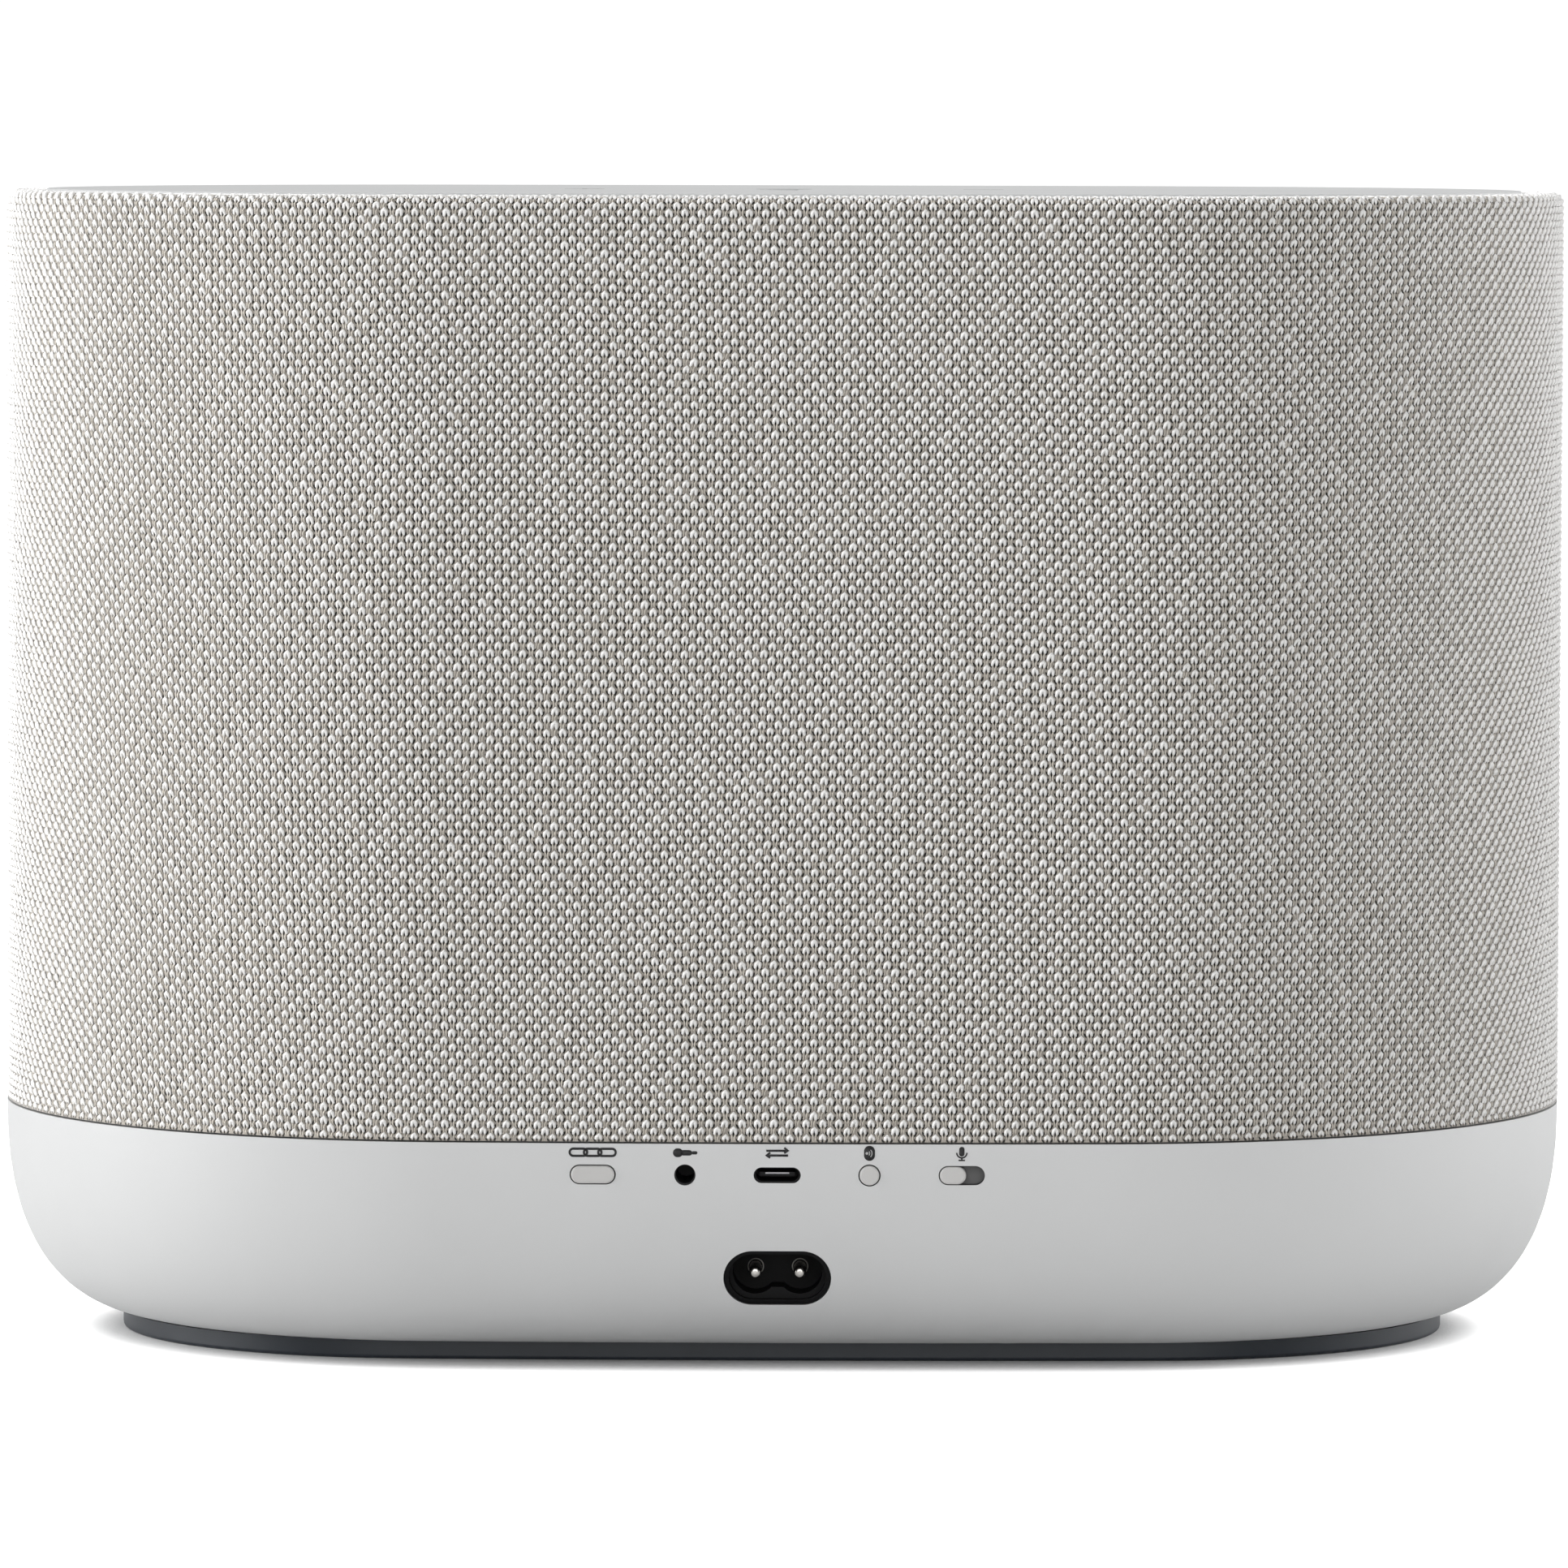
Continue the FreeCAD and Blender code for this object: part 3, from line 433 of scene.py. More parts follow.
def net():
    """The net under the loops: finer yarn with an open mesh hole beside each loop leg."""
    m, nt, b = material("knit_net")
    uv = nt.nodes.new("ShaderNodeUVMap")
    uv.uv_map = "lattice"
    sp = nt.nodes.new("ShaderNodeSeparateXYZ")
    nt.links.new(uv.outputs["UV"], sp.inputs[0])

    def mth(op, a_, b_2=None, c_=None):
        n = nt.nodes.new("ShaderNodeMath")
        n.operation = op
        for i, q in enumerate((a_, b_2, c_)):
            if q is None:
                continue
            if isinstance(q, (int, float)):
                n.inputs[i].default_value = q
            else:
                nt.links.new(q, n.inputs[i])
        return n.outputs[0]

    # an open hole beside each leg of a loop, and a slit between the legs
    def oval(fu, fv, ru, rv, slant):
        du = mth("DIVIDE", mth("ADD", fu, mth("MULTIPLY", fv, slant)), ru)
        dv = mth("DIVIDE", fv, rv)
        return mth("ADD", mth("MULTIPLY", du, du), mth("MULTIPLY", dv, dv))

    def odd(q):
        return mth("MULTIPLY", mth("FRACT", mth("MULTIPLY", q, 0.5)), 2.0)

    vh = mth("ADD", sp.outputs["Y"], 1.02)
    hu = mth("MULTIPLY", sp.outputs["X"], 2.0)
    turn = mth("MULTIPLY_ADD", odd(mth("ADD", mth("FLOOR", vh), mth("FLOOR", hu))), 0.75, -0.30)
    holes = oval(mth("SUBTRACT", mth("FRACT", hu), 0.5), mth("SUBTRACT", mth("FRACT", vh), 0.5), 0.17, 0.40, turn)
    vs = mth("ADD", sp.outputs["Y"], 1.05)
    us = mth("SUBTRACT", sp.outputs["X"], mth("MULTIPLY", odd(mth("FLOOR", vs)), 0.5))
    slits = oval(mth("SUBTRACT", mth("FRACT", mth("ADD", us, 0.5)), 0.5), mth("SUBTRACT", mth("FRACT", vs), 0.5), 0.062, 0.48, 0.0)
    r2 = mth("MINIMUM", holes, slits)
    v = coords(nt)
    fib = noise(nt, 2400.0, 3.0, 0.65, v)
    r2 = mth("ADD", r2, mth("MULTIPLY", mth("SUBTRACT", fib.outputs["Fac"], 0.5), 1.2))
    rib = mth("FRACT", mth("MULTIPLY_ADD", sp.outputs["X"], 12.0, mth("MULTIPLY", mth("SUBTRACT", fib.outputs["Fac"], 0.5), 1.0)))
    rib = mth("ABSOLUTE", mth("SUBTRACT", rib, 0.5))
    tone = ramp(nt, rib, [(0.05, (0.46, 0.43, 0.385)), (0.45, (0.25, 0.228, 0.20))])
    hole = nt.nodes.new("ShaderNodeMapRange")
    hole.interpolation_type = "SMOOTHSTEP"
    hole.inputs["From Min"].default_value = 0.45
    hole.inputs["From Max"].default_value = 1.05
    nt.links.new(r2, hole.inputs["Value"])
    mixc = nt.nodes.new("ShaderNodeMix")
    mixc.data_type = "RGBA"
    nt.links.new(hole.outputs["Result"], mixc.inputs["Factor"])
    mixc.inputs["A"].default_value = (0.014, 0.013, 0.012, 1)
    nt.links.new(tone, mixc.inputs["B"])
    nt.links.new(mixc.outputs["Result"], b.inputs["Base Color"])
    b.inputs["Roughness"].default_value = 0.95
    b.inputs["Sheen Weight"].default_value = 1.0
    b.inputs["Sheen Roughness"].default_value = 0.35
    bump(nt, b, fib.outputs["Fac"], 0.5, 0.0001)
    return m


GROUND = net()

slot_of = {p["node"]: p["material_slot"] for p in RECORD["subparts"]}
for name, ob in NODES.items():
    m = MAT.get(slot_of.get(name, ""), None)
    if m is not None:
        ob.data.materials.clear()
        ob.data.materials.append(m)
GLINT_SOCKET = socket_with_painted_glint()
NODES["usb_port"].data.materials.clear()
NODES["usb_port"].data.materials.append(GLINT_SOCKET)

# ---- knitted cover ----------------------------------------------------------
CLOTH_Z0 = SEAM_Z + 0.20
HEM_R = 0.3
RIM_R, FOLD_R, FOLD_IN = 2.2, 1.0, 8.0
SINK = 0.62              # the net lies this far under the tops of the loops


def profile(w):
    """(inset, z, normal out, normal up) of the cover's section at arc length w (mm) from the lower edge."""
    r0 = HEM_R
    segs = [("hem", 2.2), ("arc0", r0 * math.pi / 2), ("wall", HEIGHT - RIM_R - CLOTH_Z0 - r0),
            ("rim", RIM_R * math.pi / 2), ("top", FOLD_IN - FOLD_R - RIM_R), ("fold", FOLD_R * math.pi / 2),
            ("lip", 3.6)]
    w = np.asarray(w, float)
    o, z, no, nz = (np.zeros_like(w) for _ in range(4))
    start = -segs[0][1] - segs[1][1]
    for name, ln in segs:
        lo = -1e9 if name == "hem" else start
        hi = 1e9 if name == "lip" else start + ln
        m = (w >= lo) & (w < hi)
        q = w[m] - start
        if name == "hem":
            o[m], z[m], no[m], nz[m] = r0 + (ln - q), CLOTH_Z0, 0, -1
        elif name == "arc0":
            a = q / r0
            no[m], nz[m] = np.sin(a), -np.cos(a)
            o[m], z[m] = r0 - r0 * np.sin(a), CLOTH_Z0 + r0 - r0 * np.cos(a)
        elif name == "wall":
            o[m], z[m], no[m], nz[m] = 0, CLOTH_Z0 + r0 + q, 1, 0
        elif name == "rim":
            a = q / RIM_R
            no[m], nz[m] = np.cos(a), np.sin(a)
            o[m], z[m] = RIM_R - RIM_R * np.cos(a), HEIGHT - RIM_R + RIM_R * np.sin(a)
        elif name == "top":
            o[m], z[m], no[m], nz[m] = RIM_R + q, HEIGHT, 0, 1
        elif name == "fold":
            a = q / FOLD_R
            no[m], nz[m] = -np.sin(a), np.cos(a)
            o[m], z[m] = FOLD_IN - FOLD_R + FOLD_R * np.sin(a), HEIGHT - FOLD_R + FOLD_R * np.cos(a)
        else:
            o[m], z[m], no[m], nz[m] = FOLD_IN, HEIGHT - FOLD_R - q, -1, 0
        start += ln
    return o, z, no, nz


W_WALL = HEIGHT - RIM_R - CLOTH_Z0 - HEM_R
W_TOP = W_WALL + RIM_R * math.pi / 2 + (FOLD_IN - FOLD_R - RIM_R) + FOLD_R * math.pi / 2


def on_cover(s, w, h):
    """Point on the cover: s around, w up the section, h out of the cloth's outer envelope."""
    x, y, nx, ny = outline(s)
    o, z, no, nz = profile(w)
    return np.stack([x - nx * o + nx * no * h, y - ny * o + ny * no * h, z + nz * h], -1)


N_ROUND = 276
PITCH = PERIM / N_ROUND
ROW = 1.367
N_ROWS = int((W_TOP + 1.6) / ROW)


def warp(s, w):
    """Slow drift of the wales and courses in the stretched cloth."""
    a = 2 * math.pi * s / PERIM
    ds = 0.55 * np.sin(3 * a + w / 46.0) + 0.35 * np.sin(7 * a - w / 31.0 + 1.3)
    dw = 0.50 * np.sin(4 * a + 0.6 + w / 70.0) + 0.35 * np.sin(9 * a - w / 55.0)
    edge = np.clip(np.minimum(w, W_WALL - w) / 12.0, 0, 1)
    return ds, dw * edge


def depth(w):
    """How far the net lies under the cover's outer envelope: less where it turns in at the hem."""
    k = np.clip((w - 0.05) / 0.85, 0, 1)
    return 0.10 + (SINK - 0.10) * k * k * (3 - 2 * k)


def lattice_uv(S, W):
    """Stitch count and row number at a point of the cloth, with the drift taken out."""
    ds, dw = warp(S, W)
    return (S - ds) / PITCH, (W - dw - ROW_0) / ROW


def build_ground():
    """The plain net the loops stand on, one sheet from the hem over the rim to the inner lip."""
    ns, nw = N_ROUND * 2, 188
    lo, hi = HEM_LO, W_TOP + 3.4
    w = np.unique(np.concatenate([np.linspace(lo, 1.2, 12), np.linspace(1.2, W_WALL, 128), np.linspace(W_WALL, W_TOP, 26),
                                  np.linspace(W_TOP, hi, 5)]))
    nw = len(w)
    s = np.arange(ns) * PERIM / ns
    S, W = np.meshgrid(s, w)
    p = on_cover(S, W, -depth(W)).reshape(-1, 3)
    i = np.arange((nw - 1) * ns).reshape(nw - 1, ns)
    j = np.roll(i, -1, 1)
    q = np.stack([i, j, j + ns, i + ns], -1).reshape(-1, 4)
    ob = new_mesh("knit_ground", p, q.ravel(), np.full(len(q), 4))
    u, v = lattice_uv(S, W)
    u, v = u.ravel(), v.ravel()
    uq, vq = u[q], v[q]
    uq[:, 1:3] += np.where(uq[:, 1:3] < uq[:, :1] - N_ROUND / 2, N_ROUND, 0)
    layer = ob.data.uv_layers.new(name="lattice")
    layer.data.foreach_set("uv", np.stack([uq, vq], -1).astype(np.float32).ravel())
    return ob


HEM_LO = -2.2 - HEM_R * math.pi / 2
ROW_0 = 0.72

# one stitch: a plump hairpin loop of yarn, crown up, its legs sinking into the net
LOOP = np.array([  # across, up, out (below the envelope), half thickness
    (-0.40, -1.12, -0.90, 0.14),
    (-0.44, -0.66, -0.58, 0.28),
    (-0.32, 0.00, -0.38, 0.37),
    (0.00, 0.34, -0.36, 0.42),
    (0.32, 0.00, -0.38, 0.37),
    (0.44, -0.66, -0.58, 0.28),
    (0.40, -1.12, -0.90, 0.14),
])
# the pair of finer strands that carry on down to the next loop of the same wale
STRAND = np.array([
    (0.36, -0.86, -0.66, 0.17),
    (0.20, -1.40, -0.50, 0.16),
    (0.26, -2.10, -0.62, 0.17),
])


def tube(path, sides, phase=0.5):
    """Ring points (across, up, out) and quads of a closed tube along a path."""
    c = path[:, :2]
    t = np.gradient(c, axis=0)
    t /= np.linalg.norm(t, axis=1)[:, None]
    side = np.stack([t[:, 1], -t[:, 0]], -1)
    ang = (np.arange(sides) + phase) * 2 * math.pi / sides
    ca, sa = np.cos(ang), np.sin(ang)
    r = path[:, None, 3]
    A = c[:, None, 0] + side[:, None, 0] * r * ca[None]
    B = c[:, None, 1] + side[:, None, 1] * r * ca[None]
    H = path[:, None, 2] + r * sa[None]
    n = len(path)
    q, tot = [], []
    for a in range(n - 1):
        for b in range(sides):
            b2 = (b + 1) % sides
            q += [a * sides + b, (a + 1) * sides + b, (a + 1) * sides + b2, a * sides + b2]
            tot.append(4)
    q += list(range(sides)); tot.append(sides)
    q += [(n - 1) * sides + b for b in range(sides)][::-1]; tot.append(sides)
    return np.stack([A.ravel(), B.ravel(), H.ravel()], -1), np.array(q), np.array(tot)


def build_stitches(name, columns):
    pieces = [tube(LOOP, 4, 0.0) + (0,)]
    for m in (-1, 1):
        st = STRAND.copy()
        st[:, 0] *= m
        pieces.append(tube(st, 3, 0.25) + (1,))
    off, pts, quads, tots, mats = 0, [], [], [], []
    for p, q, tt, mi in pieces:
        pts.append(p); quads.append(q + off); tots.append(tt); mats.append(np.full(len(tt), mi))
        off += len(p)
    pts, quads, tots, mats = np.vstack(pts), np.concatenate(quads), np.concatenate(tots), np.concatenate(mats)
    R, K = np.meshgrid(np.arange(N_ROWS), columns, indexing="ij")
    s0, w0 = ((K + 0.5 * (R % 2)) * PITCH).ravel(), (ROW_0 + R * ROW).ravel()
    jit = JITTER[R.ravel(), K.ravel()]
    ds, dw = warp(s0, w0)
    s0 = s0 + ds + 0.045 * jit[:, 0]
    w0 = w0 + dw + 0.045 * jit[:, 1]
    size = 1 + 0.045 * jit[:, 2]
    lean = 0.07 * jit[:, 3] + 0.06
    A, B, H = pts.T
    S = s0[:, None] + (A[None] + lean[:, None] * B[None]) * size[:, None]
    W = w0[:, None] + B[None] * size[:, None]
    W = np.clip(W, -0.25, W_TOP + 3.0)
    lift = SINK - depth(W)
    over = np.clip((w0 - W_WALL - 2.2) / 2.2, 0, 1)[:, None]
    H2 = np.maximum(H[None] + 0.03 * jit[:, 4:5], -SINK - 0.35) + 0.08
    H2 = H2 * (1 - 0.55 * over) - 0.20 * over + np.minimum(lift, 0.25) * (H[None] < -0.5)
    P = on_cover(S.ravel(), W.ravel(), H2.ravel())
    n, m = len(s0), len(pts)
    F = (quads[None] + (np.arange(n) * m)[:, None]).ravel()
    ob = new_mesh(name, P, F, np.tile(tots, n))
    ob.data.materials.append(YARN)
    ob.data.materials.append(STRANDS)
    ob.data.polygons.foreach_set("material_index", np.tile(mats, n).astype(np.int32))
    return ob


JITTER = np.clip(rng.normal(0, 1, (N_ROWS, N_ROUND, 5)), -2.2, 2.2)
ground = build_ground()
ground.data.materials.append(GROUND)
panels = [build_stitches("knit_loops_%02d" % (i + 1), c) for i, c in enumerate(np.array_split(np.arange(N_ROUND), 17))]
for ob in [ground] + panels:
    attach(ob, "housing")
    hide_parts("fabric_sleeve")

# ---- printed marks over the sockets and keys -------------------------------
ink, nt_, b_ = material("printed_ink")
v_ = coords(nt_)
nn_ = noise(nt_, 2500.0, 3.0, 0.6, v_)
nt_.links.new(ramp(nt_, nn_.outputs["Fac"], [(0.3, (0.009, 0.009, 0.010)), (0.7, (0.016, 0.016, 0.017))]), b_.inputs["Base Color"])
b_.inputs["Roughness"].default_value = 0.6
bump(nt_, b_, nn_.outputs["Fac"], 0.3, 0.00001)


def rear_y(x):
    """Rear face of the base shell near its top edge, mm."""
    return HALF_D - FACE_R + np.sqrt(FACE_R ** 2 - np.asarray(x, float) ** 2)


class Marks:
    """Collects flat printed shapes as thin closed slabs on a surface."""
    def __init__(self):
        self.v, self.f, self.t = [], [], []

    def strip(self, rings_a, rings_b, closed=False):
        """Slab between two polylines of (u, v)."""
        a, b = np.asarray(rings_a, float), np.asarray(rings_b, float)
        n = len(a)
        base = sum(len(x) for x in self.v)
        pts = []
        for h in (0.045, -0.06):
            for q in (a, b):
                pts.append(np.column_stack([q, np.full(n, h)]))
        self.v.append(np.vstack(pts))
        top_a, top_b, bot_a, bot_b = (base + k * n for k in range(4))
        rng_ = range(n if closed else n - 1)
        for i in rng_:
            j = (i + 1) % n
            for quad in ((top_a + i, top_a + j, top_b + j, top_b + i), (bot_a + j, bot_a + i, bot_b + i, bot_b + j),
                         (top_a + j, top_a + i, bot_a + i, bot_a + j), (top_b + i, top_b + j, bot_b + j, bot_b + i)):
                self.f.extend(quad); self.t.append(4)
        if not closed:
            for i, flip in ((0, False), (n - 1, True)):
                quad = [top_a + i, top_b + i, bot_b + i, bot_a + i]
                self.f.extend(quad[::-1] if flip else quad); self.t.append(4)

    def line(self, pts, width, closed=False):
        p = np.asarray(pts, float)
        if closed:
            d = np.roll(p, -1, 0) - np.roll(p, 1, 0)
        else:
            d = np.gradient(p, axis=0)
        d /= np.linalg.norm(d, axis=1)[:, None]
        nrm = np.column_stack([-d[:, 1], d[:, 0]]) * width / 2
        self.strip(p + nrm, p - nrm, closed)

    def arc(self, x, z, r, a0, a1, width, n=24):
        a = np.radians(np.linspace(a0, a1, n))
        full = abs(abs(a1 - a0) - 360) < 1e-6
        if full:
            a = a[:-1]
        self.line(np.column_stack([x + r * np.cos(a), z + r * np.sin(a)]), width, full)

    def pill(self, x, z, w, h, hole=None, n=12):
        """Filled upright or lying stadium, as strips from its middle line."""
        r = min(w, h) / 2
        if w >= h:
            a = np.linspace(math.pi / 2, -math.pi / 2, n)
            up = [(x - w / 2 + r - r * math.cos(t), z + r * math.sin(t)) for t in np.linspace(0.02, math.pi / 2, n)]
            up += [(x + w / 2 - r + r * math.cos(t), z + r * math.sin(t)) for t in np.linspace(math.pi / 2, 0.02, n)]
            lo = [(q[0], 2 * z - q[1]) for q in up]
        else:
            up = [(x + r * math.sin(t), z - h / 2 + r - r * math.cos(t)) for t in np.linspace(0.02, math.pi / 2, n)]
            up += [(x + r * math.sin(t), z + h / 2 - r + r * math.cos(t)) for t in np.linspace(math.pi / 2, 0.02, n)]
            lo = [(2 * x - q[0], q[1]) for q in up]
        self.strip(up, lo)

    def obj(self, name, place, mat=None):
        v = np.vstack(self.v)
        p = place(v)
        ob = new_mesh(name, p, self.f, self.t, smooth=False)
        ob.data.materials.append(mat or ink)
        bm_normals(ob)
        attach(ob, "housing")
        return ob


def bm_normals(ob):
    import bmesh
    bm = bmesh.new()
    bm.from_mesh(ob.data)
    bmesh.ops.recalc_face_normals(bm, faces=bm.faces)
    bm.to_mesh(ob.data)
    bm.free()


IO_P = 17.75
MARK_Z = 44.5


def rear(v):
    # seen from behind, +X is on the left, so u runs along -X
    return np.column_stack([-v[:, 0], rear_y(v[:, 0]) + v[:, 2], v[:, 1]])


# link mark over the connect key: three joined rounded rings
g = Marks()
u = -2 * IO_P
for sx in (-1, 0, 1):
    pts = []
    cx_ = u + sx * 2.75
    for q in np.linspace(0, 2 * math.pi, 33)[:-1]:
        k = 0.98 if math.cos(q) > 0 else -0.98
        pts.append((cx_ + k + 0.70 * math.cos(q), MARK_Z + 0.70 * math.sin(q)))
    g.line(pts, 0.44, True)
g.obj("mark_connect", rear)
# plug mark over the audio socket
g = Marks()
u = -IO_P
g.pill(u - 1.35, MARK_Z, 1.9, 1.7)
g.pill(u + 0.30, MARK_Z, 2.2, 1.05)
g.pill(u + 1.85, MARK_Z, 1.1, 0.62)
g.obj("mark_audio", rear)
# data mark over the data socket: two opposite arrows
g = Marks()
u = 0.0
for sx, dz in ((1, 0.46), (-1, -0.46)):
    g.line([(u - 2.1, MARK_Z + dz), (u + 2.1, MARK_Z + dz)], 0.42)
    g.line([(u + sx * 1.35, MARK_Z + dz + 0.56), (u + sx * 2.15, MARK_Z + dz), (u + sx * 1.35, MARK_Z + dz - 0.44)], 0.40)
g.obj("mark_data", rear)
# wireless mark over the pairing key: a dark pill with pale waves
g = Marks()
u = IO_P
g.pill(u, MARK_Z, 2.1, 2.9)
g.obj("mark_wireless", rear)
g = Marks()
g.arc(u - 0.50, MARK_Z, 0.14, 0, 360, 0.26)
for r in (0.54, 0.98):
    g.arc(u - 0.50, MARK_Z, r, -44, 44, 0.17)
wave_ink = plastic("wave_print", (0.42, 0.42, 0.42), rough=0.5, grain=2500.0)
g.obj("mark_waves", lambda v: rear(v) + np.array([0, 0.03, 0]), wave_ink)
# microphone mark over the mute slide
g = Marks()
u = 2 * IO_P
g.pill(u, MARK_Z + 0.34, 1.02, 1.85)
g.arc(u, MARK_Z + 0.12, 0.98, 180, 360, 0.27)
g.line([(u, MARK_Z - 0.78), (u, MARK_Z - 1.32)], 0.27)
g.line([(u - 0.62, MARK_Z - 1.34), (u + 0.62, MARK_Z - 1.34)], 0.27)
g.obj("mark_microphone", rear)

# thin metal rings round the roots of the two mains pins
ring_v, ring_f, ring_t = [], [], []
for px in (-4.3, 4.3):
    o_ = len(ring_v)
    for i in range(32):
        t = 2 * math.pi * i / 32
        for j in range(6):
            q = 2 * math.pi * j / 6
            rr = 1.50 + 0.13 * math.cos(q)
            ring_v.append((px + rr * math.cos(t), 77.75 + 0.13 * math.sin(q), 20.4 + rr * math.sin(t)))
    for i in range(32):
        for j in range(6):
            ring_f += [o_ + i * 6 + j, o_ + ((i + 1) % 32) * 6 + j, o_ + ((i + 1) % 32) * 6 + (j + 1) % 6, o_ + i * 6 + (j + 1) % 6]
            ring_t.append(4)
ring_ob = new_mesh("pin_root_rings", np.array(ring_v), np.array(ring_f), np.array(ring_t))
ring_ob.data.materials.append(metal("ring_nickel", (0.34, 0.33, 0.31), 0.35, brushed=False))
bm_normals(ring_ob)
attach(ring_ob, "housing")

# touch marks on the top panel
PANEL_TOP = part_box("top_panel")[1].z * 1000


def top(v):
    return np.column_stack([v[:, 0], v[:, 1], PANEL_TOP + v[:, 2] * 0.6])


pale_ink = plastic("touch_print", (0.33, 0.335, 0.34), rough=0.5, grain=2500.0)
g = Marks()
g.line([(-44, 0), (-36, 0)], 1.0)
g.line([(36, 0), (44, 0)], 1.0)
g.line([(40, -4), (40, -0.6)], 1.0)
g.line([(40, 0.6), (40, 4)], 1.0)
g.line([(-2.6, 10.0), (-2.6, 18.0), (4.2, 14.0), (-2.6, 10.0)][:3] + [(-2.6, 10.0)], 0.9)
g.arc(0, -1.0, 5.2, 0, 360, 0.9, 40)
g.obj("mark_touch", top, pale_ink)

# ---- smooth shading of the moulded base -------------------------------------
BOWL_Z, BOWL_IN_X, BOWL_IN_Y, BOWL_P = 3.7, 29.75, 38.0, 2.4


def bowl_gap(x, y, z):
    """Horizontal distance outside the base's outer surface, mm."""
    t = np.clip((SEAM_Z - z) / (SEAM_Z - BOWL_Z), 0, 1 - 1e-9)
    c = np.power(1 - np.power(t, BOWL_P), 1 / BOWL_P)
    ix, iy = BOWL_IN_X * (1 - c), BOWL_IN_Y * (1 - c)
    a, b = HALF_W - ix, HALF_D - iy
    re = b - 1.5
    rf = ((a - re) ** 2 + b * b - re * re) / (2 * (b - re))
    cx, cy = a - re, rf - b
    x, y = np.abs(x), np.abs(y)
    face = cx * y - cy * (x - cx) > 0
    return np.where(face, np.hypot(x, y + cy) - rf, np.hypot(x - cx, y) - re)


def smooth_base():
    me = NODES["base_shell"].data
    co = np.zeros(len(me.vertices) * 3, np.float32)
    me.vertices.foreach_get("co", co)
    co = co.reshape(-1, 3).astype(float) / MM
    vi = np.zeros(len(me.loops), np.int32)
    me.loops.foreach_get("vertex_index", vi)
    cn = np.zeros(len(me.loops) * 3, np.float32)
    me.corner_normals.foreach_get("vector", cn)
    cn = cn.reshape(-1, 3).astype(float)
    p = co[vi]
    x, y, z = p.T
    zc = np.clip(z, BOWL_Z + 0.02, SEAM_Z - 0.02)
    e = 0.02
    g0 = bowl_gap(x, y, zc)
    gx = (bowl_gap(x + e, y, zc) - bowl_gap(x - e, y, zc)) / (2 * e)
    gy = (bowl_gap(x, y + e, zc) - bowl_gap(x, y - e, zc)) / (2 * e)
    gz = (bowl_gap(x, y, zc + e * 0.5) - bowl_gap(x, y, zc - e * 0.5)) / e
    n = np.stack([gx, gy, gz], -1)
    ln = np.linalg.norm(n, axis=1)
    n /= ln[:, None]
    on = (np.abs(g0) / ln < 0.12) & (np.einsum("ij,ij->i", n, cn) > 0.93)
    out = np.where(on[:, None], n, cn)
    me.normals_split_custom_set(out.astype(np.float32).tolist())
    return int(on.sum()), len(on)


print("base normals", smooth_base())

# ---- stage, light and camera ------------------------------------------------
def stage():
    me = bpy.data.meshes.new("floor")
    s = 6.0
    me.from_pydata([(-s, -s, 0), (s, -s, 0), (s, s, 0), (-s, s, 0)], [], [(0, 1, 2, 3)])
    ob = bpy.data.objects.new("floor", me)
    bpy.context.scene.collection.objects.link(ob)
    m, nt, b = material("studio_white")
    v = coords(nt)
    n = noise(nt, 3.0, 2.0, 0.5, v)
    nt.links.new(ramp(nt, n.outputs["Fac"], [(0.3, (0.79, 0.79, 0.79)), (0.7, (0.81, 0.81, 0.81))]), b.inputs["Base Color"])
    b.inputs["Roughness"].default_value = 0.9
    b.inputs["Specular IOR Level"].default_value = 0.1
    # painted light on the table top: a glow seen only by the camera makes it read as white without adding light to the
    # object; ambient occlusion fades the glow next to the object, a painted contact shadow
    lp_ = nt.nodes.new("ShaderNodeLightPath")
    glow = nt.nodes.new("ShaderNodeMath")
    glow.operation = "MULTIPLY"
    near_ = nt.nodes.new("ShaderNodeAmbientOcclusion")
    near_.inputs["Distance"].default_value = 0.014
    near_.samples = 8
    open_ = nt.nodes.new("ShaderNodeMapRange")
    open_.interpolation_type = "SMOOTHSTEP"
    open_.inputs["From Min"].default_value = 0.15
    open_.inputs["From Max"].default_value = 0.50
    open_.inputs["To Min"].default_value = 0.0
    open_.inputs["To Max"].default_value = 1.0
    nt.links.new(near_.outputs["AO"], open_.inputs["Value"])
    nt.links.new(lp_.outputs["Is Camera Ray"], glow.inputs[0])
    nt.links.new(open_.outputs["Result"], glow.inputs[1])
    b.inputs["Emission Color"].default_value = (1, 1, 1, 1)
    nt.links.new(glow.outputs[0], b.inputs["Emission Strength"])
    me.materials.append(m)
    ob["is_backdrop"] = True


stage()

world = bpy.data.worlds.new("studio")
bpy.context.scene.world = world
world.use_nodes = True
wt = world.node_tree
bg = wt.nodes["Background"]
out = wt.nodes["World Output"]
tc = wt.nodes.new("ShaderNodeTexCoord")
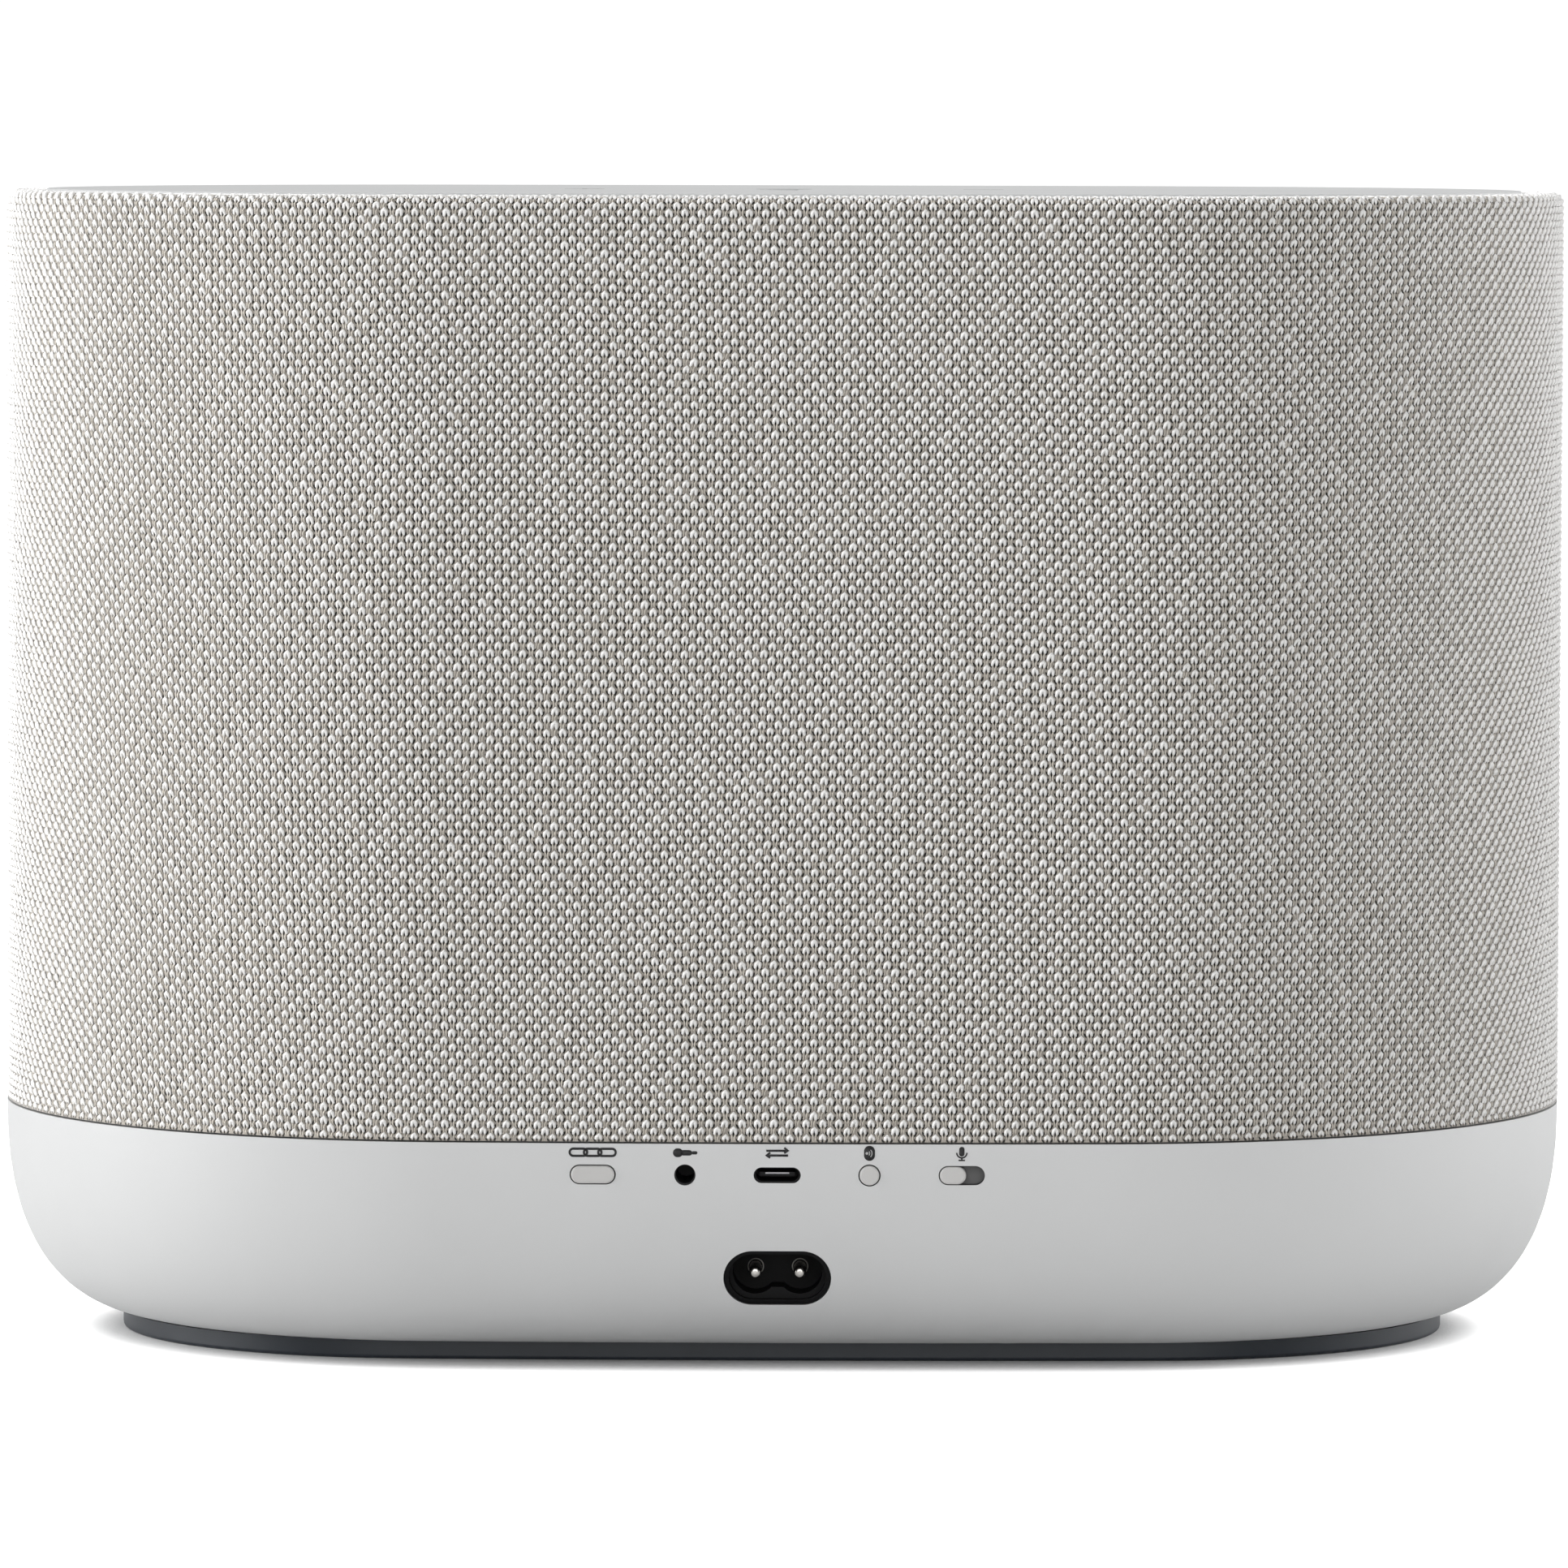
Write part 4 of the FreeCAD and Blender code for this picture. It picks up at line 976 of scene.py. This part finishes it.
# soft boxes round the table: azimuth from +Y towards +X, elevation, half width in degrees, strength
SOFT_BOXES = [
    (-150, 12, 38, 0.42), (-120, 12, 38, 2.56), (-90, 12, 38, 1.85), (0, 12, 38, 2.63), (90, 12, 38, 5.41),
    (-180, 48, 45, 0.71), (-135, 48, 45, 0.16), (135, 48, 45, 0.61), (75, 36, 40, 0.15),
]
total = None
for az, el, half, power in SOFT_BOXES:
    d_ = wt.nodes.new("ShaderNodeVectorMath")
    d_.operation = "DOT_PRODUCT"
    a_, e_ = math.radians(az), math.radians(el)
    d_.inputs[1].default_value = (math.sin(a_) * math.cos(e_), math.cos(a_) * math.cos(e_), math.sin(e_))
    wt.links.new(tc.outputs["Generated"], d_.inputs[0])
    r_m = wt.nodes.new("ShaderNodeMapRange")
    r_m.interpolation_type = "SMOOTHSTEP"
    r_m.inputs["From Min"].default_value = math.cos(math.radians(half))
    r_m.inputs["From Max"].default_value = 1.0
    r_m.inputs["To Min"].default_value = 0.0
    r_m.inputs["To Max"].default_value = power
    wt.links.new(d_.outputs["Value"], r_m.inputs["Value"])
    if total is None:
        total = r_m.outputs["Result"]
    else:
        s_ = wt.nodes.new("ShaderNodeMath")
        s_.operation = "ADD"
        wt.links.new(total, s_.inputs[0])
        wt.links.new(r_m.outputs["Result"], s_.inputs[1])
        total = s_.outputs[0]
wt.links.new(total, bg.inputs["Strength"])
bg.inputs["Color"].default_value = (1, 1, 1, 1)
bg2 = wt.nodes.new("ShaderNodeBackground")
bg2.inputs["Color"].default_value = (1, 1, 1, 1)
bg2.inputs["Strength"].default_value = 1.05
lp = wt.nodes.new("ShaderNodeLightPath")
mixw = wt.nodes.new("ShaderNodeMixShader")
wt.links.new(lp.outputs["Is Camera Ray"], mixw.inputs["Fac"])
wt.links.new(bg.outputs[0], mixw.inputs[1])
wt.links.new(bg2.outputs[0], mixw.inputs[2])
wt.links.new(mixw.outputs[0], out.inputs["Surface"])

# raking lamp that only reaches the knitted cover
rake = bpy.data.lights.new("cover_rake", "SUN")
rake.energy = 2.3
rake.angle = math.radians(40)
rake_ob = bpy.data.objects.new("cover_rake", rake)
bpy.context.scene.collection.objects.link(rake_ob)
ra, re_ = math.radians(80), math.radians(14)
rake_ob.rotation_mode = "QUATERNION"
rake_ob.rotation_quaternion = Vector((math.sin(ra) * math.cos(re_), math.cos(ra) * math.cos(re_), math.sin(re_))).to_track_quat("Z", "Y")
only = bpy.data.collections.new("cover_only")
for ob_ in panels + [ground]:
    only.objects.link(ob_)
rake_ob.light_linking.receiver_collection = only

D, ZC, PITCH_, ROLL, YAW, XS = 2077.88, 248.39, math.radians(3.835), math.radians(0.1215), math.radians(-0.5356), -0.248
cp, sp = math.cos(PITCH_), math.sin(PITCH_)
r_ = Vector((-1, 0, 0)); f_ = Vector((0, -cp, -sp)); u_ = Vector((0, -sp, cp))
xi = r_ * math.cos(ROLL) + u_ * math.sin(ROLL)
yi = -r_ * math.sin(ROLL) + u_ * math.cos(ROLL)
back = Matrix.Rotation(-YAW, 3, "Z")
cam = bpy.data.cameras.new("camera")
cam_ob = bpy.data.objects.new("camera", cam)
bpy.context.scene.collection.objects.link(cam_ob)
cam.sensor_width = 36.0
cam.lens = 237.583
cam.clip_end = 50.0
X, Y, Z = back @ xi, back @ yi, back @ (-f_)
loc = back @ Vector((XS, D, ZC)) * MM
cam_ob.matrix_world = Matrix(((X.x, Y.x, Z.x, loc.x), (X.y, Y.y, Z.y, loc.y), (X.z, Y.z, Z.z, loc.z), (0, 0, 0, 1)))
bpy.context.scene.camera = cam_ob
bpy.context.scene.view_settings.view_transform = "Standard"

{"cad": as_list(CAD_BOX), "visual": as_list(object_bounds())}
